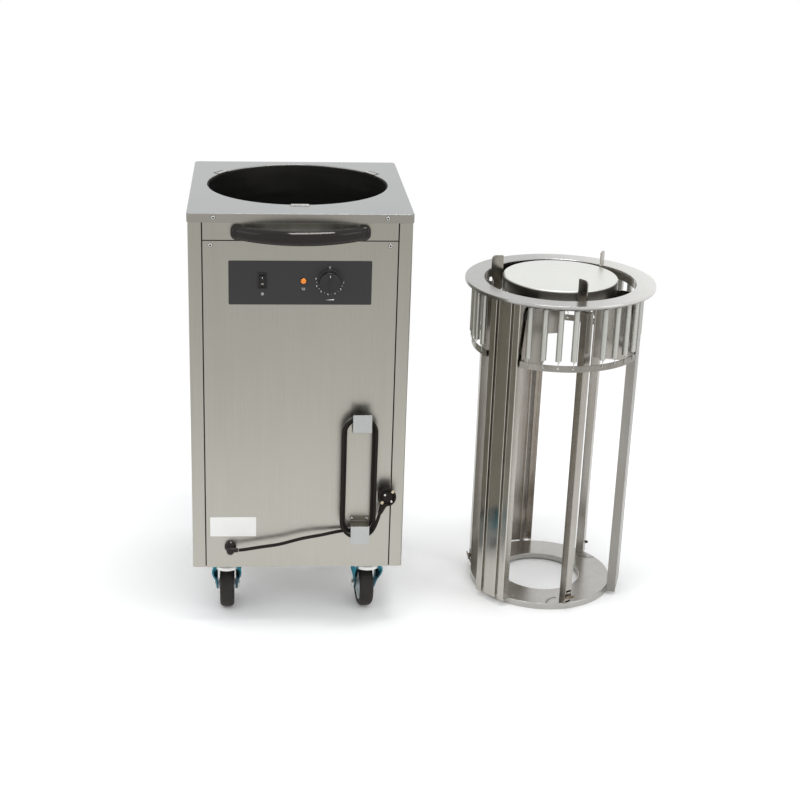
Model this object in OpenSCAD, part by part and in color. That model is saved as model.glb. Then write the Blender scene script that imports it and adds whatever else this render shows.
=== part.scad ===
// Heated plate dispenser: a cabinet on castors and, standing beside it on the floor,
// the round sprung insert that hangs in its well. Millimetres, Z up, floor at z = 0.

/* [Cabinet body] */
// Width over the top plate
cabinet_w = 450; // [430:1:480]
// Depth of the top plate, front to back
cabinet_d = 485; // [470:1:520]
// Height from the floor to the top plate
cabinet_h = 907; // [880:1:940]
// Thickness of the body's sheet steel
sheet_t = 1.5; // [1:0.1:2]
// Depth of the folded rim round the top plate
top_skirt = 18.5; // [14:0.5:24]
// How far the top plate stands out over the body
top_overhang = 1.9; // [1.7:0.1:3]
// Radius of the top plate's corners
corner_r = 9; // [6:1:14]
// Width of the front strip that each side panel folds round
side_strip = 30; // [24:1:38]
// Width of the joint line between two panels
seam_gap = 1.6; // [1:0.1:3]
// Height of the fascia strip's lower edge below the top plate's top
fascia_drop = 55; // [50:1:62]

/* [Well] */
// Radius of the round opening in the top plate
well_r = 191; // [189.5:0.5:194]
// Width of the top plate between the opening and the back edge
well_rear = 27.5; // [18:0.5:32]
// Height of the liner's floor above the ground
liner_z = 150; // [142:1:160]
// Wall thickness of the liner
liner_t = 1; // [0.8:0.1:1.5]
// Length of each hanger slot round the opening
hook_slot = 38; // [30:1:44]
// Radius of the heating ring
heater_r = 120; // [100:1:135]
// Diameter of the heating tube
heater_d = 8.5; // [6.5:0.5:10]

/* [Handle] */
// Overall length of the handle
handle_len = 278; // [260:1:300]
// How far the handle stands out in front of the top plate
handle_reach = 60; // [50:1:72]
// Height of the handle's section
handle_tall = 25; // [20:1:28]
// Depth of the handle's section
handle_deep = 19; // [15:1:23]

/* [Controls] */
// Width of the control plate
plate_w = 286; // [260:1:300]
// Height of the control plate
plate_h = 90.5; // [78:0.5:96]
// Height of the control plate's middle below the top plate's top
plate_drop = 141.3; // [125:0.1:160]
// Height of the controls' centres below the top plate's top
controls_drop = 137; // [125:1:150]
// Place of the power switch across the front
switch_x = -75.5; // [-90:0.5:-60]
// Place of the pilot lamp across the front
lamp_x = 6.5; // [-10:0.5:16]
// Place of the thermostat knob across the front
knob_x = 59; // [50:0.5:80]
// Width of the switch's bezel
bezel_w = 18.5; // [16:0.5:24]
// Height of the switch's bezel
bezel_h = 33; // [28:0.5:38]
// Diameter of the pilot lamp's lens
lamp_d = 12; // [9:0.5:15]
// Diameter of the thermostat knob's face
knob_d = 43; // [36:1:46]
// How far the knob stands out from the control plate
knob_tall = 19; // [15:0.5:24]

/* [Cord] */
// Diameter of the mains cord
cord_d = 7; // [6:0.1:7.4]
// Width of each cord hook
hook_w = 39; // [34:1:44]
// Depth of a cord hook, from the panel to its flap
hook_reach = 34; // [32:0.5:38]
// Height of a cord hook's flap
hook_flap = 40; // [30:1:48]
// Height of a cord hook's screwed flange
hook_flange = 13; // [11:0.5:16]
// Place of the cord hooks across the front
hook_x = 129.5; // [124:0.5:134]
// Height of the upper cord hook above the floor
hook_high = 456; // [450:1:458]
// Height of the lower cord hook above the floor
hook_low = 241; // [240:1:246]
// Place of the cable gland across the front
gland_x = -143; // [-150:1:-136]
// Height of the cable gland above the floor
gland_z = 184; // [183:0.5:186]

/* [Castors] */
// Diameter of a castor's wheel
wheel_d = 100; // [90:1:106]
// Width of the tyre
tyre_w = 31; // [24:1:33]
// Height from the floor to the underside of the cabinet
castor_h = 134; // [132:1:142]
// Distance of a castor's pivot from the side edge
castor_in = 72.7; // [65:0.1:80]
// Distance of a castor's pivot from the front or the back edge
castor_y = 53; // [50:1:66]
// Distance of the wheel's axle from the castor's pivot
trail = 35; // [26:1:38]
// Angle through which the front right castor has swivelled
castor_turn = 6; // [0:1:20]
// Radius of the wheel's axle
axle_r = 6; // [5:0.1:7]

/* [Insert] */
// Distance between the middle of the cabinet and the middle of the insert
stand_apart = 565; // [550:1:640]
// Height of the insert's top ring
ring_h = 716; // [690:1:735]
// Outer radius of the top ring
ring_r = 204; // [200:1:210]
// Inner radius of the top ring
ring_in = 162; // [160:0.5:165]
// Depth of the top ring's inner collar
collar_h = 20; // [14:1:26]
// Thickness of the insert's sheet steel
insert_t = 1.5; // [1.2:0.1:2]
// Outer radius of the base ring
base_r = 159.5; // [157:0.5:160]
// Inner radius of the base ring
base_in = 89.5; // [80:0.5:96]
// Height of the base ring
base_h = 15; // [12:1:20]
// Distance of an upright's outer face from the insert's axis
upright_r = 178; // [175:1:181]
// Width of an upright
upright_w = 79; // [70:1:82]
// Depth of the two grooves pressed in an upright
groove_deep = 9; // [5:0.5:11]
// Width of the two grooves pressed in an upright
groove_w = 8; // [5:0.5:9]

/* [Carriage] */
// Radius of the plate platform
platform_r = 122.5; // [118:0.5:125]
// Height of the platform's top above the top ring at rest
platform_up = 8; // [2:1:12]
// Depth of the platform's folded rim
platform_rim = 28; // [20:1:34]
// Distance of the leg's inner wall from the insert's axis
leg_in = 88; // [80:1:96]
// Distance of the legs' lower edge below the top ring
leg_drop = 154; // [146:1:162]
// Radius of the spring bands, to their outer face
band_r = 183; // [181:0.5:184.5]
// Height of a spring band
band_h = 14; // [10:0.5:18]
// Distance of the bands' middle below the top ring
band_drop = 142; // [136:1:146]
// Diameter of a spring's coils
spring_d = 13; // [10:0.5:14]
// Radius on which the springs hang
spring_r = 182; // [181:0.5:183]
// Number of springs in each of the three groups
springs_each = 8; // [4:2:8]
// Angle between two neighbouring springs
spring_step = 10; // [9:0.5:10]

/* [Plate guides] */
// Distance of a guide's pivot from the insert's axis
pivot_r = 151.5; // [150.5:0.5:152.5]
// Angle through which a guide is swung out of the insert's radius
guide_turn = 22; // [10:1:34]
// Depth of a guide's channel
guide_deep = 19.5; // [17:0.5:21]
// Width of a guide's channel
guide_w = 18; // [16:0.5:22]
// Distance of the finger's inner edge from the guide's pivot
finger_in = 26.6; // [22:0.1:27]
// Height of a guide's finger above the top ring
finger_up = 38; // [30:1:50]
// Thickness of a guide's finger
finger_t = 3; // [2:0.5:5]
// Radius of the wing screws and the guides' upper pins
pin_r = 3; // [2.5:0.1:3.5]

/* [Hidden] */
$fn = 64;
steel = [0.76, 0.76, 0.74];
bright_steel = [0.86, 0.87, 0.87];
dark_steel = [0.42, 0.40, 0.38];
black = [0.08, 0.08, 0.09];
zinc_blue = [0.25, 0.45, 0.50];

// Running clearance of every pin in its bore, and the gap kept between moving faces.
run_gap = 0.05;
move_gap = 0.3;

// Panel screws.
screw_r = 2;
screw_head_r = 3.6;
screw_head_h = 2;

// The cabinet and the insert are placed so that the whole stands centred on the origin.
whole_w = cabinet_w / 2 + stand_apart + ring_r;
cabinet_x = -whole_w / 2 + cabinet_w / 2;
insert_x = cabinet_x + stand_apart;
front_y = -(cabinet_d + handle_reach + screw_head_h) / 2 + handle_reach;
insert_y = -7;

// Body, measured from the front edge of the top plate.
body_w = cabinet_w - 2 * top_overhang;
body_front = top_overhang;
body_back = cabinet_d - top_overhang;
body_top = cabinet_h - sheet_t;
bend_r = corner_r - top_overhang;
groove_x = cabinet_w / 2 - side_strip;
panel_w = 2 * groove_x - seam_gap;
panel_fold = 14;
rear_fold = 26;
seam_z = cabinet_h - fascia_drop;
fascia_z = cabinet_h - (fascia_drop + top_skirt) / 2;
tray_fold = 22;
tray_z = castor_h;
skirt_screw_x = groove_x - 23;
skirt_screw_drop = 8.5;
panel_screw_x = groove_x - 16.5;
panel_screw_drop = 9;
back_screw_zs = [castor_h + 60, cabinet_h / 2 + 40, cabinet_h - 80];

// Well.
well_back = cabinet_d - well_rear - well_r;
liner_r = well_r - 1;
hook_angles = [-90, 33, 147];
rivet_angles = [-85, 29, 151];
hook_out = well_r + 7;
collar_drop = 12;
vent_r = 60;
liner_drop = 3;
liner_h = cabinet_h - liner_drop - liner_z;
strap_lip = 14;
heater_lift = 22;
slot_w = 6;
slot_len = 90;
slot_step = 24;
terminal_spread = 24;

// Handle: a bow on a circle whose ends sink into two rounded feet.
foot_r = 15;
foot_tall = 31;
foot_x = handle_len / 2 - foot_r;
bow_mid = -handle_reach + handle_deep / 2;
bow_end = -8;
bow_sag = bow_end - bow_mid;
bow_r = (foot_x * foot_x + bow_sag * bow_sag) / (2 * bow_sag);
bow_angle = asin(foot_x / bow_r);
section_r = 7;
foot_screw_r = 2.5;

// Controls.
controls_z = cabinet_h - controls_drop;
plate_z = cabinet_h - plate_drop;
plate_t = 1.2;
plate_y = body_front - plate_t;
switch_deep = 24;
rocker_w = bezel_w - 6;
rocker_h = bezel_h - 8;
rocker_r = 17;
rocker_pin_r = 1.2;
bezel_t = 2.5;
lamp_body_r = lamp_d / 2 - 0.5;
shaft_r = 3;
knob_skirt = knob_d / 2 + 3;
thermostat_w = 44;
thermostat_h = 50;
thermostat_deep = 30;
label_w = 97;
label_h = 44.5;
label_x = -137;
label_z = 228.7;
label_t = 0.3;

// Cord: the gland, the hand-chosen route of the lead, and the turns round the hooks.
gland_r = 11.6;
gland_nose = 23;
hook_t = 1.5;
hook_screw_x = 15.5;
turns = 2;
turn_steps = 24;
turn_centre_x = 126.3;
turn_low = 252;
turn_high = 450;
turn_r = 27;
turn_grow = 5;
turn_y = -10;
turn_pitch = 8;
lead_points = [[-125, -19, 184], [-112, -20, 186], [-100, -20, 188], [-76, -20, 192], [-49, -20, 196],
    [-30, -19.5, 200], [-12, -19, 205], [8, -18, 210], [30, -17, 214], [52, -14.5, 217], [72, -11, 220],
    [88, -8.5, 222], [102, -7.5, 224]];
plug_at = [185, -20, 307];
plug_lean = 20;
plug_r = 19;
plug_deep = 30;
neck_r = 6.5;
neck_len = 40;
neck_end = plug_at - neck_len * [sin(plug_lean), 0, cos(plug_lean)];
tail_points = [[142, -25.5, 219], [153, -24, 226], [161, -22, 238], [166.5, -20.5, 253], neck_end];

// Castors.
castor_x = cabinet_w / 2 - castor_in;
castor_places = [[-castor_x, castor_y, 0], [castor_x, castor_y, castor_turn],
    [-castor_x, cabinet_d - castor_y, 180], [castor_x, cabinet_d - castor_y, 180]];
castor_plate_t = 2.5;
castor_plate_w = 88;
castor_plate_d = 68;
castor_bolt_x = castor_plate_w / 2 - 7;
castor_bolt_y = castor_plate_d / 2 - 8;
axle_z = wheel_d / 2;
race_r = 30;
race_h = 10.5;
kingpin_r = 5;
crown_top = castor_h - castor_plate_t - race_h - move_gap;
crown_t = 3;
crown_r = 29;
fork_t = 3;
fork_in = tyre_w / 2 + 4;
leg_slope = atan((trail + crown_r - 17) / (crown_top - axle_z));
hub_w = 2 * fork_in - 2 * move_gap;
hub_r = wheel_d / 2 - 14;
tyre_in = hub_r;
tyre_round = 9;

// Insert: one part in every three lies at each of these angles.
group_angles = [-79, 41, 161];
upright_angles = [-139, -19, 101];
collar_out = ring_in + insert_t;
upright_wall = upright_w / 2 - insert_t;
upright_in = sqrt(collar_out * collar_out - upright_wall * upright_wall);
base_touch = sqrt(base_r * base_r - upright_wall * upright_wall);
upright_low = 14;
flange_under = ring_h - insert_t;
groove_mid = upright_w / 2 - 19.5;
leg_side = upright_w / 2 + 4;
leg_out = 170;
leg_t = 1.5;
leg_foot = ring_h - leg_drop;
platform_z = ring_h + platform_up;
platform_under = platform_z - insert_t;
leg_shoulder = flange_under - collar_h - 4;
band_z = ring_h - band_drop;
band_t = 2;
band_end = (springs_each / 2) * spring_step + 4.5;
spring_wire = 1.6;
hook_line = band_r + 0.4 + spring_wire / 2;
spring_top = flange_under - 11;
spring_foot = band_z + band_h / 2 + 8;
hanger_w = 8;
hanger_t = 1.5;
hanger_h = 8;
rim_h = 7;
slider_w = 12;
slider_h = 18;
slider_deep = 15;

// Plate guides.
guide_t = 1.5;
guide_foot = base_h + move_gap;
guide_shoulder = flange_under - collar_h - 6;
guide_top = ring_h + finger_up;
guide_cap = 3;
post_r = 5;
guide_in = post_r + 0.5 + guide_t;
guide_out = guide_deep - guide_in;
clamp_z = base_h + 17;
clamp_h = 20;
clamp_t = 2;
post_top = clamp_z + 9;
tab_r = 6;
tab_t = 2.5;
tab_z = flange_under - collar_h - tab_t + 0.5;
finger_slack = tab_r + 1.2;
finger_round = 9;
wing_seat = guide_out + 4;
wing_span = 11;

// ---- places ----

module at_cabinet() {
    translate([cabinet_x, front_y, 0]) children();
}

module at_insert(angle = 0) {
    translate([insert_x, insert_y, 0]) rotate([0, 0, angle]) children();
}

// Turns a shape that points up so that it points to the front.
module to_front(x, y, z) {
    translate([x, y, z]) rotate([90, 0, 0]) children();
}

// ---- shared shapes ----

module round_square(w, d, r) {
    square([w - 2 * r, d], center = true);
    square([w, d - 2 * r], center = true);
    for (sx = [-1, 1], sy = [-1, 1])
        translate([sx * (w / 2 - r), sy * (d / 2 - r)]) circle(r);
}

module round_block(w, d, h, r) {
    linear_extrude(h) round_square(w, d, r);
}

module ring(r_out, r_in, h) {
    difference() {
        cylinder(r = r_out, h = h);
        translate([0, 0, -1]) cylinder(r = r_in, h = h + 2);
    }
}

// A pan-head screw whose head's seat lies at z = 0 and whose shank points down.
module pan_screw(r, head_r, head_h, len) {
    difference() {
        rotate_extrude() polygon([[0, -len], [r, -len], [r, 0], [head_r, 0], [head_r, head_h * 0.45],
            [head_r * 0.6, head_h], [0, head_h]]);
        for (a = [0, 90])
            rotate([0, 0, a]) translate([0, 0, head_h]) cube([head_r * 1.1, head_r * 0.22, head_h], center = true);
    }
}

// ---- cabinet body ----

module well_cut(r, z, h) {
    translate([0, well_back, z]) cylinder(r = r, h = h);
}

module top_plate() color(bright_steel) at_cabinet() difference() {
    union() {
        difference() {
            translate([0, cabinet_d / 2, cabinet_h - top_skirt])
                round_block(cabinet_w, cabinet_d, top_skirt, corner_r);
            translate([0, cabinet_d / 2, cabinet_h - top_skirt - 1])
                round_block(cabinet_w - 2 * sheet_t, cabinet_d - 2 * sheet_t, top_skirt + 1 - sheet_t,
                    corner_r - sheet_t);
        }
        well_cut(well_r + sheet_t, cabinet_h - collar_drop, collar_drop - sheet_t / 2);
    }
    well_cut(well_r, cabinet_h - top_skirt, top_skirt + 1);
    for (a = hook_angles)
        translate([0, well_back, cabinet_h - 4]) rotate([0, 0, a])
            translate([hook_out + 0.5, 0, 0]) cube([4, hook_slot, 12], center = true);
    for (sx = [-1, 1], y = [0, cabinet_d])
        translate([sx * skirt_screw_x, y, cabinet_h - skirt_screw_drop]) rotate([90, 0, 0])
            cylinder(r = screw_r, h = 8, center = true);
    for (a = rivet_angles)
        translate([0, well_back, cabinet_h - 4]) rotate([0, 0, a])
            translate([well_r + 17, 0, 0]) cylinder(r = 2, h = 8);
}

// Plan outline of the right-hand side panel: strip round the front corner, side wall and rear fold.
module side_outline() {
    side = body_w / 2;
    strip_in = groove_x + seam_gap / 2;
    translate([strip_in, body_front]) square([side - bend_r - strip_in, sheet_t]);
    translate([strip_in, body_front]) square([sheet_t, panel_fold]);
    translate([side - sheet_t, body_front + bend_r]) square([sheet_t, body_back - body_front - 2 * bend_r]);
    translate([side - bend_r - rear_fold, body_back - sheet_t]) square([rear_fold, sheet_t]);
    for (y = [body_front + bend_r, body_back - bend_r])
        translate([side - bend_r, y]) intersection() {
            difference() {
                circle(bend_r);
                circle(bend_r - sheet_t);
            }
            translate([0, y < cabinet_d / 2 ? -bend_r : 0]) square([bend_r, bend_r]);
        }
}

module side_panel(side) {
    at_cabinet() mirror([side < 0 ? 1 : 0, 0, 0]) difference() {
        translate([0, 0, castor_h]) linear_extrude(body_top - castor_h) side_outline();
        for (z = back_screw_zs)
            translate([body_w / 2 - bend_r - rear_fold / 2, body_back, z]) rotate([90, 0, 0])
                cylinder(r = screw_r, h = 10, center = true);
    }
}

module side_panel_left() color(steel) side_panel(-1);
module side_panel_right() color(steel) side_panel(1);

module back_panel() color(steel) at_cabinet() difference() {
    back_w = body_w - 2 * bend_r - 6;
    translate([-back_w / 2, body_back - 2 * sheet_t, castor_h + sheet_t])
        cube([back_w, sheet_t, body_top - castor_h - 2 * sheet_t]);
    for (sx = [-1, 1], z = back_screw_zs)
        translate([sx * (body_w / 2 - bend_r - rear_fold / 2), body_back, z]) rotate([90, 0, 0])
            cylinder(r = screw_r, h = 12, center = true);
    for (sx = [-1, 1])
        translate([sx * skirt_screw_x, body_back, cabinet_h - skirt_screw_drop]) rotate([90, 0, 0])
            cylinder(r = screw_r, h = 12, center = true);
}

// A flat front panel with its two side edges folded back.
module front_tray(z_low, z_high) {
    translate([-panel_w / 2, body_front, z_low]) cube([panel_w, sheet_t, z_high - z_low]);
    for (sx = [-1, 1])
        translate([sx * (panel_w - sheet_t) / 2, body_front + panel_fold / 2, (z_low + z_high) / 2])
            cube([sheet_t, panel_fold, z_high - z_low], center = true);
}

module fascia_strip() color(steel) at_cabinet() difference() {
    union() {
        front_tray(seam_z + seam_gap / 2, body_top);
        translate([-panel_w / 2 + 4, body_front + sheet_t, seam_z - 2 * panel_screw_drop])
            cube([panel_w - 8, sheet_t, 2 * panel_screw_drop + 5]);
    }
    for (sx = [-1, 1])
        to_front(sx * panel_screw_x, body_front + 6, seam_z - panel_screw_drop) cylinder(r = screw_r, h = 12);
    for (sx = [-1, 1])
        to_front(sx * foot_x, body_front + 6, fascia_z) cylinder(r = foot_screw_r + 0.3, h = 12);
    for (sx = [-1, 1])
        to_front(sx * skirt_screw_x, body_front + 6, cabinet_h - skirt_screw_drop) cylinder(r = screw_r, h = 12);
}

module control_cuts(depth) {
    translate([switch_x, body_front, controls_z])
        cube([bezel_w - 3, depth, bezel_h - 3], center = true);
    to_front(lamp_x, body_front + depth / 2, controls_z) cylinder(r = lamp_body_r + 0.2, h = depth);
    to_front(knob_x, body_front + depth / 2, controls_z) cylinder(r = shaft_r + 2, h = depth);
}

module service_panel() color(steel) at_cabinet() difference() {
    front_tray(castor_h, seam_z - seam_gap / 2);
    control_cuts(12);
    for (sx = [-1, 1])
        to_front(sx * panel_screw_x, body_front + 6, seam_z - panel_screw_drop) cylinder(r = screw_r, h = 12);
    for (z = [hook_high - hook_flange / 2, hook_low + hook_flange / 2], sx = [-1, 1])
        to_front(hook_x + sx * hook_screw_x, body_front + 6, z) cylinder(r = screw_r, h = 12);
    to_front(gland_x, body_front + 6, gland_z) cylinder(r = 8, h = 12);
}

module base_tray() color(steel) at_cabinet() difference() {
    in_w = body_w - 2 * sheet_t - 1;
    y_low = body_front + panel_fold;
    y_high = body_back - 2 * sheet_t;
    tray_r = bend_r - sheet_t - 0.5;
    translate([0, (y_low + y_high) / 2, tray_z]) round_block(in_w, y_high - y_low, tray_fold, tray_r);
    translate([0, (y_low + y_high) / 2, tray_z + sheet_t])
        round_block(in_w - 2 * sheet_t, y_high - y_low - 2 * sheet_t, tray_fold, tray_r - sheet_t);
    for (x = [-2.5 * slot_step : slot_step : 2.5 * slot_step])
        translate([x, cabinet_d / 2, tray_z]) cube([slot_w, slot_len, 8], center = true);
}

// Round liner of the well, open at the top.
module well_liner() color(dark_steel) at_cabinet() translate([0, well_back, liner_z])
    ring(liner_r, liner_r - liner_t, liner_h);

// Floor of the liner, with a vent hole and two holes for the ends of the heating ring.
module liner_floor() color(dark_steel) at_cabinet() translate([0, well_back, liner_z]) difference() {
    cylinder(r = liner_r - liner_t, h = liner_t);
    translate([0, 0, -1]) cylinder(r = vent_r, h = liner_t + 2);
    for (sx = [-1, 1])
        translate([sx * terminal_spread / 2, -heater_r, -1]) cylinder(r = heater_d / 2, h = liner_t + 2);
}

// Three straps on the liner's rim that hook over the opening's edge into the plate's slots.
module liner_straps() color(dark_steel) at_cabinet() translate([0, well_back, cabinet_h])
    for (a = hook_angles)
        rotate([0, 0, a]) rotate([90, 0, 0]) linear_extrude(hook_slot - 2, center = true) polygon([
            [liner_r - liner_t, -liner_drop], [liner_r, -liner_drop], [liner_r, 0.2], [hook_out, 0.2],
            [hook_out, -strap_lip], [hook_out + 1.2, -strap_lip], [hook_out + 1.2, 1.4], [liner_r - liner_t, 1.4]]);

// A nearly closed ring of heating tube on four feet, with its two ends turned down through the floor.
module heater_element() color(dark_steel) at_cabinet() translate([0, well_back, 0]) {
    ring_z = liner_z + heater_lift;
    gap = asin(terminal_spread / 2 / heater_r);
    rotate([0, 0, -90 + gap]) translate([0, 0, ring_z]) rotate_extrude(angle = 360 - 2 * gap)
        translate([heater_r, 0]) circle(heater_d / 2);
    for (sx = [-1, 1])
        translate([sx * terminal_spread / 2, -heater_r * cos(gap), liner_z - 12])
            cylinder(r = heater_d / 2 - move_gap, h = ring_z - liner_z + 12);
    for (a = [0, 90, 180])
        rotate([0, 0, a]) translate([heater_r, 0, liner_z + liner_t])
            translate([0, 0, (ring_z - liner_z - liner_t) / 2])
                cube([3, 14, ring_z - liner_z - liner_t], center = true);
}

// ---- handle and front fittings ----

module handle() color(black) at_cabinet() translate([0, 0, fascia_z]) difference() {
    union() {
        translate([0, bow_mid + bow_r, 0]) rotate([0, 0, -90 - bow_angle]) rotate_extrude(angle = 2 * bow_angle)
            translate([bow_r, 0]) round_square(handle_deep, handle_tall, section_r);
        for (sx = [-1, 1])
            translate([sx * foot_x, 0, 0]) {
                rotate_extrude() intersection() {
                    round_square(2 * foot_r, foot_tall, 6);
                    translate([0, -foot_tall]) square([foot_r, 2 * foot_tall]);
                }
            }
    }
    translate([-handle_len, body_front, -foot_tall]) cube([2 * handle_len, 60, 2 * foot_tall]);
    for (sx = [-1, 1])
        to_front(sx * foot_x, body_front + 1, 0) cylinder(r = foot_screw_r, h = 11);
}

module handle_screws() color(bright_steel) at_cabinet() {
    for (sx = [-1, 1])
        translate([sx * foot_x, body_front + sheet_t, fascia_z]) rotate([-90, 0, 0])
            pan_screw(foot_screw_r, 5, 3, 10 + sheet_t);
}

module control_plate() color(black) at_cabinet() difference() {
    to_front(0, body_front, plate_z) round_block(plate_w, plate_h, plate_t, 2);
    control_cuts(12);
}

module switch_housing() color(black) at_cabinet() translate([switch_x, plate_y, controls_z]) difference() {
    union() {
        to_front(0, 0, 0) round_block(bezel_w, bezel_h, bezel_t, 1.5);
        translate([0, switch_deep / 2, 0]) cube([bezel_w - 3.4, switch_deep, bezel_h - 3.4], center = true);
    }
    translate([0, 1, 0]) cube([rocker_w + 0.6, 18, rocker_h + 1.6], center = true);
    rotate([0, 90, 0]) cylinder(r = rocker_pin_r + run_gap, h = bezel_w - 4.5, center = true);
}

// A rocker seen from the side: a shallow V in front, round behind, on a pin through its middle.
module power_rocker() color(black) at_cabinet() translate([switch_x, plate_y, controls_z]) {
    rotate([90, 0, 90]) linear_extrude(rocker_w, center = true) intersection() {
        polygon([[-5.6, -rocker_h / 2 + 0.4], [0, 0], [-1.6, rocker_h / 2 - 0.4], [6, rocker_h / 2 - 5],
            [7, 0], [6, -rocker_h / 2 + 5]] );
        translate([0, 0]) circle(rocker_r);
    }
    rotate([0, 90, 0]) cylinder(r = rocker_pin_r, h = bezel_w - 5, center = true);
}

module pilot_lamp() color([0.85, 0.40, 0.12]) at_cabinet() translate([lamp_x, plate_y, controls_z]) {
    rotate([90, 0, 0]) rotate_extrude() polygon([[0, -16], [lamp_body_r, -16], [lamp_body_r, 0],
        [lamp_d / 2 + 1, 0], [lamp_d / 2 + 1, 1], [lamp_d / 2 - 0.5, 2.5], [lamp_d / 4, 4], [0, 4.4]]);
}

module thermostat_body() color(dark_steel) at_cabinet() translate([knob_x, 0, controls_z]) {
    translate([0, body_front + sheet_t + thermostat_deep / 2, 0])
        cube([thermostat_w, thermostat_deep, thermostat_h], center = true);
    to_front(0, body_front + sheet_t + 1, 0) cylinder(r = shaft_r, h = sheet_t + plate_t + knob_tall - 5);
}

// Knob: a skirt with a round grip, milled round its edge, on the thermostat's shaft.
module thermostat_knob() color(black) at_cabinet() translate([knob_x, plate_y - move_gap, controls_z])
    rotate([90, 0, 0]) difference() {
        union() {
            cylinder(r = knob_skirt, h = 3);
            cylinder(r1 = knob_d / 2 + 1, r2 = knob_d / 2, h = knob_tall - 1);
            cylinder(r = knob_d / 2 - 1.5, h = knob_tall);
            translate([0, 0, knob_tall]) cube([3, knob_d - 8, 3], center = true);
        }
        for (a = [0 : 15 : 345])
            rotate([0, 0, a]) translate([knob_d / 2 + 1.3, 0, 3.5]) cylinder(r = 1.6, h = knob_tall, $fn = 16);
        translate([0, 0, -1]) cylinder(r = shaft_r + run_gap, h = knob_tall - 4);
    }

module rating_label() color("white") at_cabinet()
    to_front(label_x, body_front, label_z) round_block(label_w, label_h, label_t, 1.5);

// ---- mains cord ----

// Gland: a round nut on the panel, a nose, its clamping screw's boss and a side sleeve for the cord.
module cable_gland() color(black) at_cabinet() translate([gland_x, body_front, gland_z]) rotate([90, 0, 0]) {
    translate([0, 0, -6]) cylinder(r = 7.5, h = 8);
    cylinder(r = gland_r, h = 7);
    translate([0, 0, 7]) cylinder(r1 = gland_r, r2 = 9, h = 4);
    cylinder(r = 9, h = 15);
    translate([0, 0, 15]) sphere(9);
    translate([0, -7, 12]) cylinder(r = 7, h = gland_nose - 5);
    translate([0, 0, gland_nose - 2.1]) rotate([0, 90, 0]) cylinder(r1 = 8, r2 = cord_d / 2 + 1.5, h = 18);
}

// One Z-bent bracket: screwed flange, stem and flap, drawn for a flap that points down.
module hook_shape() {
    translate([hook_x, body_front, 0]) difference() {
        rotate([90, 0, 90]) linear_extrude(hook_w, center = true) polygon([[0, 0], [0, hook_flange], [-hook_t, hook_flange],
            [-hook_t, hook_t], [-hook_reach, hook_t], [-hook_reach, -hook_flap + hook_t],
            [-hook_reach + hook_t, -hook_flap + hook_t], [-hook_reach + hook_t, 0]]);
        for (sx = [-1, 1])
            to_front(sx * hook_screw_x, 5, hook_flange / 2) cylinder(r = screw_r + 0.1, h = 12);
    }
}

module cord_hook_lower() color(bright_steel) at_cabinet() translate([0, 0, hook_low]) hook_shape();
module cord_hook_upper() color(bright_steel) at_cabinet() translate([0, 0, hook_high]) mirror([0, 0, 1]) hook_shape();

module hook_screws() color(bright_steel) at_cabinet() {
    for (z = [hook_high - hook_flange / 2, hook_low + hook_flange / 2], sx = [-1, 1])
        to_front(hook_x + sx * hook_screw_x, body_front - hook_t, z)
            pan_screw(screw_r, 3.2, 2, hook_t + sheet_t + 3);
}

// Tube along a route: rings square to the path, turned by the Y axis, joined by triangles.
function unit(v) = v / norm(v);
function heading(p, i) = unit(p[min(i + 1, len(p) - 1)] - p[max(i - 1, 0)]);
function across(t) = unit([0, 1, 0] - t[1] * t);
function ring_point(p, i, r, a) = let (t = heading(p, i), n = across(t))
    p[i] + r * (cos(a) * n + sin(a) * cross(t, n));

module tube(p, r, sides) {
    rings = len(p);
    points = concat([for (i = [0 : rings - 1], k = [0 : sides - 1]) ring_point(p, i, r, 360 * k / sides)],
        [p[0], p[rings - 1]]);
    walls = [for (i = [0 : rings - 2], k = [0 : sides - 1], h = [0, 1])
        let (a = i * sides + k, b = i * sides + (k + 1) % sides)
            h == 0 ? [a, b, b + sides] : [a, b + sides, a + sides]];
    first_cap = [for (k = [0 : sides - 1]) [rings * sides, (k + 1) % sides, k]];
    last = (rings - 1) * sides;
    last_cap = [for (k = [0 : sides - 1]) [rings * sides + 1, last + k, last + (k + 1) % sides]];
    polyhedron(points, concat(walls, first_cap, last_cap));
}

// One turn in 24 steps: round the lower hook, up the right side, over the upper hook, down the left.
function turn_point(step) = let (
    k = step % turn_steps,
    r = turn_r + turn_grow * step / turn_steps,
    y = turn_y - turn_pitch * step / turn_steps,
    side = k < 4 || k > 20 ? 0 : (k <= 8 ? (k - 4) / 4 : (k >= 16 ? (20 - k) / 4 : 1)),
    z0 = turn_low + (turn_high - turn_low) * side,
    a = k <= 4 ? -90 + 22.5 * k : (k < 8 ? 0 : (k <= 16 ? 22.5 * (k - 8) : (k < 20 ? 180 : 180 + 22.5 * (k - 20)))))
    [turn_centre_x + r * cos(a), y, z0 + r * sin(a)];
wrap_points = concat([for (s = [0 : turns * turn_steps]) turn_point(s)], tail_points);
lead_end = turn_point(0);
lead_path = concat(lead_points, [[115, -8.5, 225], lead_end]);
wrap_gap = min([for (i = [0 : len(wrap_points) - 1], j = [0 : len(wrap_points) - 1])
    if (j > i + 6) norm(wrap_points[i] - wrap_points[j])]) - cord_d;
echo(str("least gap of the wound cord to itself, mm: ", wrap_gap));

module cord_lead() color(black) at_cabinet() tube(lead_path, cord_d / 2, 8);
module cord_wrap() color(black) at_cabinet() tube(wrap_points, cord_d / 2, 6);

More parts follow.
